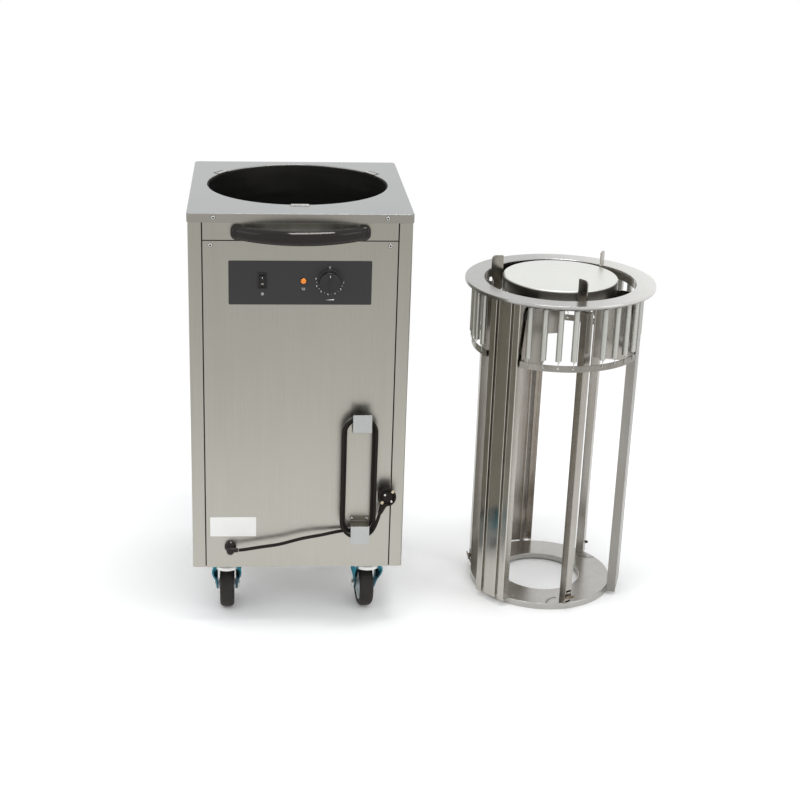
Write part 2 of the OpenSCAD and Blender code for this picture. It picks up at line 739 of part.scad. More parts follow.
// Two-pin plug with side earth contacts, facing the front, its neck leaning down to the cord.
module cord_plug() color(black) at_cabinet() translate(plug_at) {
    rotate([90, 0, 0]) difference() {
        union() {
            translate([0, 0, -14]) cylinder(r1 = plug_r - 5, r2 = plug_r, h = 6);
            translate([0, 0, -8]) cylinder(r = plug_r, h = plug_deep - 8);
            for (sx = [-1, 1])
                rotate([0, 0, 45]) translate([sx * 9.5, 0, 13]) cylinder(r = 2.4, h = 20);
        }
        for (sx = [-1, 1])
            rotate([0, 0, 135]) translate([sx * plug_r, 0, plug_deep / 2]) cube([5, 6, plug_deep], center = true);
    }
    rotate([0, 180 + plug_lean, 0]) cylinder(r1 = neck_r + 2, r2 = cord_d / 2 + 1, h = neck_len);
}

module panel_screws() color(bright_steel) at_cabinet() {
    for (sx = [-1, 1])
        to_front(sx * panel_screw_x, body_front, seam_z - panel_screw_drop)
            pan_screw(screw_r, screw_head_r, screw_head_h, sheet_t + 3);
    for (sx = [-1, 1], z = back_screw_zs)
        translate([sx * (body_w / 2 - bend_r - rear_fold / 2), body_back, z]) rotate([-90, 0, 0])
            pan_screw(screw_r, screw_head_r, screw_head_h, 2 * sheet_t + 3);
}

module skirt_screws() color(bright_steel) at_cabinet() {
    for (sx = [-1, 1]) {
        to_front(sx * skirt_screw_x, 0, cabinet_h - skirt_screw_drop)
            pan_screw(screw_r, screw_head_r, screw_head_h, sheet_t + top_overhang + 3);
        translate([sx * skirt_screw_x, cabinet_d, cabinet_h - skirt_screw_drop]) rotate([-90, 0, 0])
            pan_screw(screw_r, screw_head_r, screw_head_h, 2 * sheet_t + top_overhang + 3);
    }
}

// ---- castors ----

module castor_plates() color(bright_steel) at_cabinet() {
    for (place = castor_places)
        translate([place[0], place[1], castor_h]) {
            translate([0, 0, -castor_plate_t]) round_block(castor_plate_w, castor_plate_d, castor_plate_t, 6);
            translate([0, 0, -castor_plate_t - race_h]) cylinder(r1 = race_r - 4, r2 = race_r, h = race_h);
            translate([0, 0, crown_top - crown_t - 2 - castor_h]) cylinder(r = kingpin_r, h = 12);
            translate([0, 0, crown_top - crown_t - move_gap - 6 - castor_h]) cylinder(r = 9, h = 6);
            for (sx = [-1, 1], sy = [-1, 1])
                translate([sx * castor_bolt_x, sy * castor_bolt_y, -castor_plate_t - 4]) cylinder(r = 5, h = 4);
        }
}

// Fork: a crown on the kingpin, two swept legs with turned-out front edges, axle and its nuts.
module fork_leg_outline() {
    hull() {
        translate([0, crown_top - 3 - axle_z]) square([2 * crown_r - 14, 1], center = true);
        translate([trail, 0]) circle(11);
    }
}

module castor_fork(place) {
    at_cabinet() translate([place[0], place[1], 0]) rotate([0, 0, place[2]]) {
        difference() {
            translate([0, 0, crown_top - crown_t]) cylinder(r = crown_r, h = crown_t);
            translate([0, 0, crown_top - crown_t - 1]) cylinder(r = kingpin_r + run_gap, h = crown_t + 2);
        }
        for (sx = [-1, 1]) {
            translate([sx * (fork_in + fork_t / 2), 0, axle_z]) rotate([90, 0, 90])
                linear_extrude(fork_t, center = true) fork_leg_outline();
            translate([sx * fork_in, 9 - crown_r, crown_top - 3]) rotate([90 + leg_slope, 0, 0]) linear_extrude(2)
                polygon([[0, -72], [sx * 2, -67], [sx * 5.5, -52], [sx * 8, -35], [sx * 8.5, -18], [sx * 6.5, -3],
                    [sx * 3, 0], [0, 0]]);
        }
        translate([0, trail, axle_z]) rotate([0, 90, 0]) {
            cylinder(r = axle_r, h = 2 * (fork_in + fork_t), center = true);
            for (s = [-1, 1])
                translate([0, 0, s * (fork_in + fork_t + 2)]) cylinder(r = axle_r + 2.5, h = 4, center = true, $fn = 6);
        }
    }
}

module at_wheel(place) {
    at_cabinet() translate([place[0], place[1], axle_z]) rotate([0, 0, place[2]])
        translate([0, trail, 0]) rotate([0, 90, 0]) children();
}

module castor_tyre(place) {
    at_wheel(place) rotate_extrude()
        difference() {
            translate([wheel_d / 4, 0]) intersection() {
                round_square(wheel_d / 2, tyre_w, tyre_round);
                translate([0, -tyre_w]) square([wheel_d, 2 * tyre_w]);
            }
            translate([-1, -tyre_w]) square([tyre_in + 1, 2 * tyre_w]);
        }
}

module castor_hub(place) {
    at_wheel(place) rotate_extrude()
        polygon([[axle_r + run_gap, -hub_w / 2], [axle_r + 6, -hub_w / 2], [axle_r + 8, -6], [hub_r - 5, -5],
            [hub_r - 3, -tyre_w / 2 + 3], [hub_r, -tyre_w / 2 + 3], [hub_r, tyre_w / 2 - 3],
            [hub_r - 3, tyre_w / 2 - 3], [hub_r - 5, 5], [axle_r + 8, 6], [axle_r + 6, hub_w / 2],
            [axle_r + run_gap, hub_w / 2]]);
}

module castor_fork_fl() color(zinc_blue) castor_fork(castor_places[0]);
module castor_fork_fr() color(zinc_blue) castor_fork(castor_places[1]);
module castor_fork_rl() color(zinc_blue) castor_fork(castor_places[2]);
module castor_fork_rr() color(zinc_blue) castor_fork(castor_places[3]);
module castor_tyre_fl() color(black) castor_tyre(castor_places[0]);
module castor_tyre_fr() color(black) castor_tyre(castor_places[1]);
module castor_tyre_rl() color(black) castor_tyre(castor_places[2]);
module castor_tyre_rr() color(black) castor_tyre(castor_places[3]);
module castor_hub_fl() color("lightgray") castor_hub(castor_places[0]);
module castor_hub_fr() color("lightgray") castor_hub(castor_places[1]);
module castor_hub_rl() color("lightgray") castor_hub(castor_places[2]);
module castor_hub_rr() color("lightgray") castor_hub(castor_places[3]);

// ---- insert: frame ----

// Flat ring with a turned-down rim and an inner collar, the springs' hangers and, under the collar,
// a tab for each guide with its upper pin.
module top_ring() color(steel) {
    at_insert() rotate_extrude() polygon([[ring_in, flange_under - collar_h], [collar_out, flange_under - collar_h],
        [collar_out, flange_under], [ring_r - insert_t, flange_under], [ring_r - insert_t, ring_h - rim_h],
        [ring_r, ring_h - rim_h], [ring_r, ring_h - 1], [ring_r - 1, ring_h], [ring_in + 2, ring_h], [ring_in, ring_h - 2]]);
    for (g = group_angles, s = [0 : springs_each - 1])
        at_insert(g + (s - (springs_each - 1) / 2) * spring_step + (s < springs_each / 2 ? -1 : 1) * spring_step / 2)
            difference() {
                translate([spring_r, 0, flange_under - hanger_h / 2]) cube([hanger_t, hanger_w, hanger_h + 0.2], center = true);
                translate([spring_r, 0, flange_under - 5]) rotate([0, 90, 0]) cylinder(r = 1.6, h = 4, center = true);
            }
    for (g = group_angles)
        at_insert(g) translate([pivot_r, 0, 0]) {
            translate([0, 0, guide_shoulder - 2 * guide_cap])
                cylinder(r = pin_r, h = tab_z - guide_shoulder + 2 * guide_cap + 1);
            translate([0, 0, tab_z]) cylinder(r = tab_r, h = tab_t);
            translate([0, -tab_r, tab_z]) cube([ring_in + insert_t / 2 - pivot_r, 2 * tab_r, tab_t]);
        }
}

// Flat base ring with both edges turned down, and a round post on which each guide swings.
module base_ring() color(steel) {
    at_insert() rotate_extrude() polygon([[base_in, 3], [base_in + insert_t, 3], [base_in + insert_t, base_h - insert_t],
        [base_r - insert_t, base_h - insert_t], [base_r - insert_t, 0], [base_r, 0], [base_r, base_h - 1.5],
        [base_r - 1.5, base_h], [base_in + 1.5, base_h], [base_in, base_h - 1.5]]);
    for (g = group_angles)
        at_insert(g) translate([pivot_r, 0, base_h - insert_t / 2])
            cylinder(r = post_r, h = post_top - base_h + insert_t / 2);
}

// Upright: a pressed channel, open towards the axis, with two grooves down its outer face.
module upright_outline(depth) {
    half = upright_w / 2;
    t = insert_t;
    g0 = groove_mid - groove_w / 2;
    g1 = groove_mid + groove_w / 2;
    translate([upright_r - t, -g0 - t]) square([t, 2 * (g0 + t)]);
    for (s = [-1, 1])
        scale([1, s, 1]) {
            translate([upright_r - groove_deep, g0]) square([groove_deep, t]);
            translate([upright_r - groove_deep, g0]) square([t, g1 - g0]);
            translate([upright_r - groove_deep, g1 - t]) square([groove_deep, t]);
            translate([upright_r - t, g1 - t]) square([t, half - g1 + t]);
            translate([upright_r - depth, half - t]) square([depth, t]);
        }
}

module upright(angle) {
    at_insert(angle) {
        translate([0, 0, upright_low]) linear_extrude(flange_under - upright_low)
            upright_outline(upright_r - upright_in);
        for (s = [-1, 1])
            translate([0, s * (upright_w / 2 - insert_t / 2), 0]) rotate([90, 0, 0])
                linear_extrude(insert_t, center = true) polygon([[base_touch, 0], [upright_in + 6, 0],
                    [upright_r - 1, upright_low], [upright_r - 1, upright_low + 1], [upright_in, upright_low + 12],
                    [base_touch, upright_low]]);
    }
}

module upright_left() color(steel) upright(upright_angles[0]);
module upright_right() color(steel) upright(upright_angles[1]);
module upright_rear() color(steel) upright(upright_angles[2]);

// ---- insert: sprung carriage ----

// A close-wound extension spring with a wire hook at each end, straight from hanger to band.
module spring() {
    translate([spring_r, 0, spring_foot]) {
        ring(spring_d / 2, spring_d / 2 - spring_wire, spring_top - spring_foot);
        translate([0, 0, spring_top - spring_foot - 1.5]) cylinder(r = spring_d / 2 - 0.5, h = 1.5);
        cylinder(r = spring_d / 2 - 0.5, h = 1.5);
    }
    for (z = [[spring_top - 0.5, flange_under - 4], [band_z - 1, spring_foot + 0.5]])
        translate([hook_line, 0, z[0]]) cylinder(r = spring_wire / 2, h = z[1] - z[0]);
}

module spring_group(angle) {
    for (s = [0 : springs_each - 1])
        at_insert(angle + (s - (springs_each - 1) / 2) * spring_step
            + (s < springs_each / 2 ? -1 : 1) * spring_step / 2) spring();
}

module springs_front() color("silver") spring_group(group_angles[0]);
module springs_rear() color("silver") spring_group(group_angles[1]);
module springs_left() color("silver") spring_group(group_angles[2]);

module carriage_platform() color(bright_steel) at_insert() rotate_extrude()
    polygon([[0, platform_under], [platform_r - insert_t, platform_under],
        [platform_r - insert_t, platform_z - platform_rim], [platform_r, platform_z - platform_rim],
        [platform_r, platform_z - 3], [platform_r - 1, platform_z - 1], [platform_r - 3, platform_z], [0, platform_z]]);

// Three channel legs under the platform: each straddles an upright and carries the bands' ends.
module leg() {
    for (s = [-1, 1])
        translate([0, s * (leg_side + leg_t / 2), 0]) rotate([90, 0, 0]) linear_extrude(leg_t, center = true)
            polygon([[leg_in, leg_foot], [leg_out, leg_foot], [leg_out, leg_foot + 40], [leg_out - 12, leg_shoulder],
                [platform_r - 10, leg_shoulder], [platform_r - 16, platform_under], [leg_in, platform_under]]);
    translate([leg_in, -leg_side, leg_foot]) cube([leg_t, 2 * leg_side, platform_under - leg_foot]);
}

module carriage_legs() color(steel) {
    for (a = upright_angles)
        at_insert(a) leg();
}

// Bands: an arc on edge for each group, with an ear at each end that meets a leg.
module carriage_bands() color(steel) {
    for (g = group_angles)
        at_insert(g) difference() {
            union() {
                translate([0, 0, band_z - band_h / 2]) rotate([0, 0, -band_end]) rotate_extrude(angle = 2 * band_end)
                    translate([band_r - band_t, 0]) square([band_t, band_h]);
                for (s = [-1, 1])
                    translate([0, 0, band_z - band_h / 2]) linear_extrude(band_h)
                        polygon(band_ear(s));
            }
            for (s = [0 : springs_each - 1])
                rotate([0, 0, (s - (springs_each - 1) / 2) * spring_step
                    + (s < springs_each / 2 ? -1 : 1) * spring_step / 2])
                    translate([band_r, 0, band_z]) rotate([0, 90, 0]) cylinder(r = 2, h = 10, center = true);
        }
}

// Plan of the straight ear from the band's end inwards to the leg's outer edge.
function on_circle(r, a) = [r * cos(a), r * sin(a)];
function turned(p, a) = [p[0] * cos(a) - p[1] * sin(a), p[0] * sin(a) + p[1] * cos(a)];
function band_ear(s) = [
    on_circle(band_r, s * band_end), on_circle(band_r - band_t, s * (band_end - 0.5)),
    turned([leg_out - 9, -s * (leg_side + leg_t)], s * 60),
    turned([leg_out - 1, -s * (leg_side + leg_t)], s * 60)];

// Plastic shoes inside the legs: each bears on the inner edge and the side of an upright.
module carriage_sliders() color(black) {
    for (a = upright_angles, s = [0, 1], z = [band_z, leg_shoulder - slider_h])
        at_insert(a) mirror([0, s, 0]) translate([0, 0, z - slider_h / 2]) linear_extrude(slider_h) polygon([
            [upright_in - slider_w, leg_side], [upright_in - slider_w, leg_side - slider_deep],
            [upright_in - move_gap, leg_side - slider_deep], [upright_in - move_gap, upright_w / 2 + move_gap],
            [upright_in + 4, upright_w / 2 + move_gap], [upright_in + 4, leg_side]]);
}

// ---- insert: plate guides ----

// Place of a guide: its pivot, turned as the guide has been swung.
module at_guide(angle) {
    at_insert(angle) translate([pivot_r, 0, 0]) rotate([0, 0, guide_turn]) children();
}

// A channel that opens outwards, closed at foot and top by plates that turn on the post and the
// upper pin, with a clamp plate across its mouth and a flat finger that leans in and stands up.
module plate_guide(angle) {
    at_guide(angle) difference() {
        union() {
            difference() {
                translate([-guide_in, -guide_w / 2, guide_foot])
                    cube([guide_deep, guide_w, guide_shoulder - guide_foot]);
                translate([guide_t - guide_in, guide_t - guide_w / 2, guide_foot + guide_cap])
                    cube([guide_deep, guide_w - 2 * guide_t, guide_shoulder - guide_foot - 2 * guide_cap]);
            }
            translate([guide_out - 1 - clamp_t, -guide_w / 2, clamp_z - clamp_h / 2])
                cube([clamp_t, guide_w, clamp_h]);
            rotate([90, 0, 0]) linear_extrude(finger_t, center = true) finger_outline();
        }
        translate([0, 0, guide_foot - 1]) cylinder(r = post_r + run_gap, h = guide_cap + 2);
        translate([0, 0, guide_shoulder - guide_cap - 1]) cylinder(r = pin_r + run_gap, h = guide_cap + 2);
        translate([post_r, 0, clamp_z]) rotate([0, 90, 0]) cylinder(r = pin_r + run_gap, h = guide_deep);
    }
}

// Finger seen from the side: it clears the ring's tab, and its outer upper corner is round.
module finger_outline() {
    outer = -1;
    polygon(concat([[guide_t / 2 - guide_in, guide_shoulder - 30], [-finger_in, guide_shoulder - 8],
        [-finger_in, guide_top - 2], [2 - finger_in, guide_top]],
        [for (a = [90 : -15 : 0])
            [outer - finger_round + finger_round * cos(a), guide_top - finger_round + finger_round * sin(a)]],
        [[outer, ring_h - 8], [-finger_slack, tab_z + tab_t + 2], [-finger_slack, guide_shoulder - 1],
        [guide_t / 2 - guide_in, guide_shoulder - 1]]));
}

module plate_guide_front() color(steel) plate_guide(group_angles[0]);
module plate_guide_rear() color(steel) plate_guide(group_angles[1]);
module plate_guide_left() color(steel) plate_guide(group_angles[2]);

// Wing screw: its shank passes the guide's clamp plate and bears on the post.
module wing_screw(angle) {
    at_guide(angle) translate([0, 0, clamp_z]) rotate([0, 90, 0]) {
        translate([0, 0, post_r + move_gap]) cylinder(r = pin_r, h = wing_seat + 2 - post_r);
        translate([0, 0, guide_out - 0.6]) cylinder(r = 5, h = wing_seat + 2 - guide_out);
        translate([0, 0, wing_seat]) linear_extrude(2.4) for (s = [-1, 1]) hull() {
            translate([0, s * 2]) circle(3, $fn = 24);
            translate([s * 2, s * wing_span]) circle(3.4, $fn = 24);
        }
    }
}

module wing_screw_front() color(bright_steel) wing_screw(group_angles[0]);
module wing_screw_rear() color(bright_steel) wing_screw(group_angles[1]);
module wing_screw_left() color(bright_steel) wing_screw(group_angles[2]);

top_plate();
side_panel_left();
side_panel_right();
back_panel();
fascia_strip();
service_panel();
base_tray();
well_liner();
liner_floor();
liner_straps();
heater_element();
thermostat_body();
handle();
handle_screws();
control_plate();
switch_housing();
power_rocker();
pilot_lamp();
thermostat_knob();
rating_label();
cable_gland();
cord_lead();
cord_wrap();
cord_plug();
cord_hook_upper();
cord_hook_lower();
hook_screws();
panel_screws();
skirt_screws();
castor_plates();
castor_fork_fl();
castor_fork_fr();
castor_fork_rl();
castor_fork_rr();
castor_tyre_fl();
castor_tyre_fr();
castor_tyre_rl();
castor_tyre_rr();
castor_hub_fl();
castor_hub_fr();
castor_hub_rl();
castor_hub_rr();
top_ring();
base_ring();
upright_left();
upright_right();
upright_rear();
springs_front();
springs_rear();
springs_left();
carriage_platform();
carriage_legs();
carriage_bands();
carriage_sliders();
plate_guide_front();
plate_guide_rear();
plate_guide_left();
wing_screw_front();
wing_screw_rear();
wing_screw_left();
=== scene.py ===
import math

import bmesh
import bpy
from mathutils import Matrix, Vector


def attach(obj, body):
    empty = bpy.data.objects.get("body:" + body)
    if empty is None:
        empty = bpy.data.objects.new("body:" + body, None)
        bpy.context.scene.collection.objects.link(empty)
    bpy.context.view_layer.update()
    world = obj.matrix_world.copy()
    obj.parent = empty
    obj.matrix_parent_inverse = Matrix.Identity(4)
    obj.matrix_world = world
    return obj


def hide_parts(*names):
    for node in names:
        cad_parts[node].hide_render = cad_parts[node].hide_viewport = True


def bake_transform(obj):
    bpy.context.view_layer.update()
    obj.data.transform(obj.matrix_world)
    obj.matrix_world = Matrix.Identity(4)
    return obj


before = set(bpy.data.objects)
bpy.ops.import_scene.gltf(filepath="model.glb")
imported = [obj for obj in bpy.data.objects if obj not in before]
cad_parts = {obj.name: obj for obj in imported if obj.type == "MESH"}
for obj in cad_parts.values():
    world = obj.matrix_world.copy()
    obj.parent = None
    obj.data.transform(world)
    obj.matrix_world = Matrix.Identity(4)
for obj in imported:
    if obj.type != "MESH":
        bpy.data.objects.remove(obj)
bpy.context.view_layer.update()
scene = bpy.context.scene
print("frame loaded:", len(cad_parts), "nodes")

# Where the cabinet and the insert stand, in mm; every piece is drawn in one of these two places.
layout = {"cabinetX": -272, "frontY": -213.5, "insertX": 293, "insertY": -7}
millimetre = Matrix.Scale(0.001, 4)


def moved(x, y, z):
    return Matrix.Translation((x, y, z))


def spun(angle, axis="Z"):  # in degrees
    return Matrix.Rotation(math.radians(angle), 4, axis)


cabinetPlace = moved(layout["cabinetX"] / 1000, layout["frontY"] / 1000, 0) @ millimetre
frontTurn = spun(90, "X")  # turns what points up so that it points to the front
outwards = Matrix(((0, 0, 1, 0), (1, 0, 0, 0), (0, 1, 0, 0), (0, 0, 0, 1)))  # up becomes right
across = Matrix(((1, 0, 0, 0), (0, 0, 1, 0), (0, 1, 0, 0), (0, 0, 0, 1)))  # up and back change places


def facing(x, y, z):
    return moved(x, y, z) @ frontTurn


def insertPlace(angle=0):
    spot = moved(layout["insertX"] / 1000, layout["insertY"] / 1000, 0)
    return spot @ spun(angle) @ millimetre


# camera

cameraSettings = {"x": -0.358, "y": -3.1595, "z": 1.637, "yaw": 3.3, "pitch": 20.8, "roll": 1.12,
                  "lens": 69.12, "shiftX": 0.075}


def makeCamera(s):
    yaw, pitch, roll = (math.radians(s[k]) for k in ("yaw", "pitch", "roll"))
    ahead = Vector((math.sin(yaw) * math.cos(pitch), math.cos(yaw) * math.cos(pitch), -math.sin(pitch)))
    right = Vector((math.cos(yaw), -math.sin(yaw), 0))
    up = right.cross(ahead)
    right, up = math.cos(roll) * right + math.sin(roll) * up, math.cos(roll) * up - math.sin(roll) * right
    data = bpy.data.cameras.new("camera")
    data.lens, data.shift_x = s["lens"], s["shiftX"]
    data.clip_start, data.clip_end = 0.05, 200
    camera = bpy.data.objects.new("camera", data)
    scene.collection.objects.link(camera)
    turn = Matrix((right, up, -ahead)).transposed().to_4x4()
    camera.matrix_world = moved(s["x"], s["y"], s["z"]) @ turn
    scene.camera = camera


makeCamera(cameraSettings)

# outlines


def fillet(points, radius, steps=4):  # rounds every corner; a third number in a point is its own radius
    out, count = [], len(points)
    for i, point in enumerate(points):
        r = point[2] if len(point) > 2 else radius
        here = Vector(point[:2])
        back, on = Vector(points[i - 1][:2]) - here, Vector(points[(i + 1) % count][:2]) - here
        angle = back.angle(on) if r > 0 and min(back.length, on.length) >= 1e-9 else 0
        if angle < 0.02 or angle > math.pi - 0.02:  # sharp, straight, or folded back on itself
            out.append(tuple(here))
            continue
        reach = min(r / math.tan(angle / 2), back.length * 0.49, on.length * 0.49)
        r = reach * math.tan(angle / 2)
        back.normalize()
        on.normalize()
        centre = here + (back + on).normalized() * (r / math.sin(angle / 2))
        a0 = (here + back * reach) - centre
        a1 = (here + on * reach) - centre
        turn = a0.angle_signed(a1) if a0.length > 1e-9 and a1.length > 1e-9 else 0
        for k in range(steps + 1):
            t = -turn * k / steps
            c, s = math.cos(t), math.sin(t)
            out.append((centre.x + a0.x * c - a0.y * s, centre.y + a0.x * s + a0.y * c))
    return out


def roundRect(w, d, r, steps, x=0, y=0):
    out = []
    for sx, sy, start in ((1, -1, -90), (1, 1, 0), (-1, 1, 90), (-1, -1, 180)):
        for i in range(steps + 1):
            a = math.radians(start + 90 * i / steps)
            out.append((x + sx * (w / 2 - r) + r * math.cos(a), y + sy * (d / 2 - r) + r * math.sin(a)))
    return out


def ringPoints(r, count, x=0, y=0):
    return [(x + r * math.cos(2 * math.pi * i / count), y + r * math.sin(2 * math.pi * i / count))
            for i in range(count)]


def turned(points, angle):
    c, s = math.cos(math.radians(angle)), math.sin(math.radians(angle))
    return [(p[0] * c - p[1] * s, p[0] * s + p[1] * c) for p in points]


def mirrored(points):  # the points, then the same backwards with their second number turned round
    return points + [(p[0], -p[1], *p[2:]) for p in reversed(points)]


# mesh making, all in mm


def addSkin(bm, loops, capStart=False, capEnd=False, place=Matrix()):
    rings = [[bm.verts.new(place @ Vector(p)) for p in loop] for loop in loops]
    for a, b in zip(rings, rings[1:]):
        for i in range(len(a)):
            j = (i + 1) % len(a)
            bm.faces.new((a[i], a[j], b[j], b[i]))
    if capStart:
        bm.faces.new(list(reversed(rings[0])))
    if capEnd:
        bm.faces.new(rings[-1])
    return rings


def addPrism(bm, outline, low, high, place=Matrix()):
    addSkin(bm, [[(x, y, z) for x, y in outline] for z in (low, high)], True, True, place)


def addBox(bm, size, middle, place=Matrix()):
    w, d, h = size
    x, y, z = middle
    corners = [(x - w / 2, y - d / 2), (x + w / 2, y - d / 2), (x + w / 2, y + d / 2),
               (x - w / 2, y + d / 2)]
    addPrism(bm, corners, z - h / 2, z + h / 2, place)


def addPlate(bm, outer, holes, low, high, place=Matrix()):  # a flat sheet with holes through it
    loops = [outer] + list(holes)
    made = [addSkin(bm, [[(x, y, z) for x, y in loop] for z in (low, high)], place=place) for loop in loops]
    for level in (0, 1):
        edges = []
        for rings in made:
            ring = rings[level]
            edges += [bm.edges.get((ring[i], ring[(i + 1) % len(ring)])) for i in range(len(ring))]
        bmesh.ops.triangle_fill(bm, use_beauty=True, use_dissolve=False, edges=edges)


def addLathe(bm, profile, steps, start=0, sweep=360, shut=True, place=Matrix()):
    whole = abs(sweep - 360) < 1e-6
    count = steps if whole else steps + 1
    rows = []
    for i in range(count):
        a = math.radians(start + sweep * i / steps)
        rows.append([(r * math.cos(a), r * math.sin(a), z) for r, z in profile])
    verts = []
    for k, (r, z) in enumerate(profile):
        if abs(r) < 1e-6:
            pole = bm.verts.new(place @ Vector((0, 0, z)))
            verts.append([pole] * count)
        else:
            verts.append([bm.verts.new(place @ Vector(rows[i][k])) for i in range(count)])
    spans = len(profile) if shut else len(profile) - 1
    for k in range(spans):
        a, b = verts[k], verts[(k + 1) % len(profile)]
        for i in range(count if whole else steps):
            j = (i + 1) % count
            face = []
            for v in (a[i], a[j], b[j], b[i]):
                if v not in face:
                    face.append(v)
            if len(face) > 2:
                bm.faces.new(face)
    if not whole and shut:
        bm.faces.new([verts[k][0] for k in range(len(profile))])
        bm.faces.new([verts[k][-1] for k in reversed(range(len(profile)))])


def smoothPath(points, steps):
    p = [Vector(q) for q in points]
    p = [2 * p[0] - p[1]] + p + [2 * p[-1] - p[-2]]
    out = []
    for i in range(1, len(p) - 2):
        a, b, c, d = p[i - 1:i + 3]
        for k in range(steps):
            t = k / steps
            out.append(0.5 * (2 * b + (c - a) * t + (2 * a - 5 * b + 4 * c - d) * t * t
                              + (3 * b - a - 3 * c + d) * t ** 3))
    return out + [p[-2]]


# radius is a number or one for each point
def addTube(bm, path, radius, sides, place=Matrix()):
    path = [Vector(p) for p in path]
    last, side, loops = len(path) - 1, None, []
    for i in range(last + 1):
        ahead = (path[min(i + 1, last)] - path[max(i - 1, 0)]).normalized()
        if side is None:
            side = ahead.orthogonal().normalized()
        side = (side - ahead * side.dot(ahead)).normalized()
        other = ahead.cross(side)
        r = radius[i] if hasattr(radius, "__len__") else radius
        loops.append([path[i] + r * (math.cos(a) * side + math.sin(a) * other)
                      for a in (2 * math.pi * k / sides for k in range(sides))])
    addSkin(bm, loops, True, True, place)


def addMesh(bm, obj, place=Matrix()):
    copy = obj.data.copy()
    copy.transform(place)
    bm.from_mesh(copy)
    bpy.data.meshes.remove(copy)


def plainObject(bm, name):
    bmesh.ops.recalc_face_normals(bm, faces=bm.faces)
    mesh = bpy.data.meshes.new(name)
    bm.to_mesh(mesh)
    bm.free()
    obj = bpy.data.objects.new(name, mesh)
    scene.collection.objects.link(obj)
    return obj


def baked(obj, name=None):  # the object with its modifiers applied, as a plain mesh
    bpy.context.view_layer.update()
    graph = bpy.context.evaluated_depsgraph_get()
    mesh = bpy.data.meshes.new_from_object(obj.evaluated_get(graph), preserve_all_data_layers=True,
                                           depsgraph=graph)
    done = bpy.data.objects.new(name or obj.name, mesh)
    name = done.name if name is None else name
    bpy.data.objects.remove(obj)
    done.name = name
    mesh.name = name
    scene.collection.objects.link(done)
    return done


def smoothAll(mesh):
    for polygon in mesh.polygons:
        polygon.use_smooth = True


def paint(mesh, material):
    mesh.materials.clear()
    mesh.materials.append(material)
    for polygon in mesh.polygons:
        polygon.material_index = 0


def settle(obj, body, material, slotName, replaced=(), place=cabinetPlace, bevel=0, segments=2, angle=32,
           smooth=True):
    name = obj.name
    mesh = obj.data
    if smooth:
        smoothAll(mesh)
        if bevel:
            cut = obj.modifiers.new("edges", "BEVEL")
            cut.width, cut.segments, cut.use_clamp_overlap = bevel, segments, True
            cut.limit_method, cut.angle_limit = "ANGLE", math.radians(angle)
        else:
            mesh.set_sharp_from_angle(angle=math.radians(angle))
        even = obj.modifiers.new("normals", "WEIGHTED_NORMAL")
        even.keep_sharp, even.weight = True, 60
        obj = baked(obj, name)
        mesh = obj.data
    mesh.transform(place)
    paint(mesh, material)
    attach(obj, body)
    if replaced:
        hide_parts(*replaced)
    return obj


def put(bm, name, body, finish, slotName, replaced=(), place=cabinetPlace, **edges):
    return settle(plainObject(bm, name), body, finishes[finish], slotName, replaced, place, **edges)


# materials


def freshMaterial(name):
    material = bpy.data.materials.new(name)
    material.use_nodes = True
    tree = material.node_tree
    return material, tree, tree.nodes["Principled BSDF"]


def grow(tree, kind, **values):
    node = tree.nodes.new(kind)
    for key, value in values.items():
        setattr(node, key, value)
    return node


# noise stretched by a scale of three numbers, on Object coordinates
def grain(tree, scale, detail, rough):
    coords = grow(tree, "ShaderNodeTexCoord")
    mapping = grow(tree, "ShaderNodeMapping")
    mapping.inputs["Scale"].default_value = scale
    tree.links.new(coords.outputs["Object"], mapping.inputs["Vector"])
    noise = grow(tree, "ShaderNodeTexNoise")
    noise.inputs["Scale"].default_value = 1
    noise.inputs["Detail"].default_value = detail
    noise.inputs["Roughness"].default_value = rough
    tree.links.new(mapping.outputs["Vector"], noise.inputs["Vector"])
    return noise.outputs["Fac"]


def between(tree, factor, low, high, start=0.3, end=0.7):
    spread = grow(tree, "ShaderNodeMapRange")
    for socket, value in (("From Min", start), ("From Max", end), ("To Min", low), ("To Max", high)):
        spread.inputs[socket].default_value = value
    tree.links.new(factor, spread.inputs["Value"])
    return spread.outputs["Result"]


def blendColours(tree, factor, a, b, start=0.3, end=0.7):
    ramp = grow(tree, "ShaderNodeValToRGB")
    ramp.color_ramp.elements[0].position, ramp.color_ramp.elements[1].position = start, end
    ramp.color_ramp.elements[0].color = (*a, 1)
    ramp.color_ramp.elements[1].color = (*b, 1)
    tree.links.new(factor, ramp.inputs["Fac"])
    return ramp.outputs["Color"]


def multiply(tree, a, b):
    mix = grow(tree, "ShaderNodeMix", data_type="RGBA", blend_type="MULTIPLY")
    mix.inputs["Factor"].default_value = 1
    tree.links.new(a, mix.inputs["A"])
    tree.links.new(b, mix.inputs["B"])
    return mix.outputs["Result"]


def roughen(tree, shader, heights, distance=0.0002):  # heights is a list of (factor, strength)
    last = None
    for factor, strength in heights:
        bump = grow(tree, "ShaderNodeBump")
        bump.inputs["Strength"].default_value = strength
        bump.inputs["Distance"].default_value = distance
        tree.links.new(factor, bump.inputs["Height"])
        if last:
            tree.links.new(last, bump.inputs["Normal"])
        last = bump.outputs["Normal"]
    tree.links.new(last, shader.inputs["Normal"])


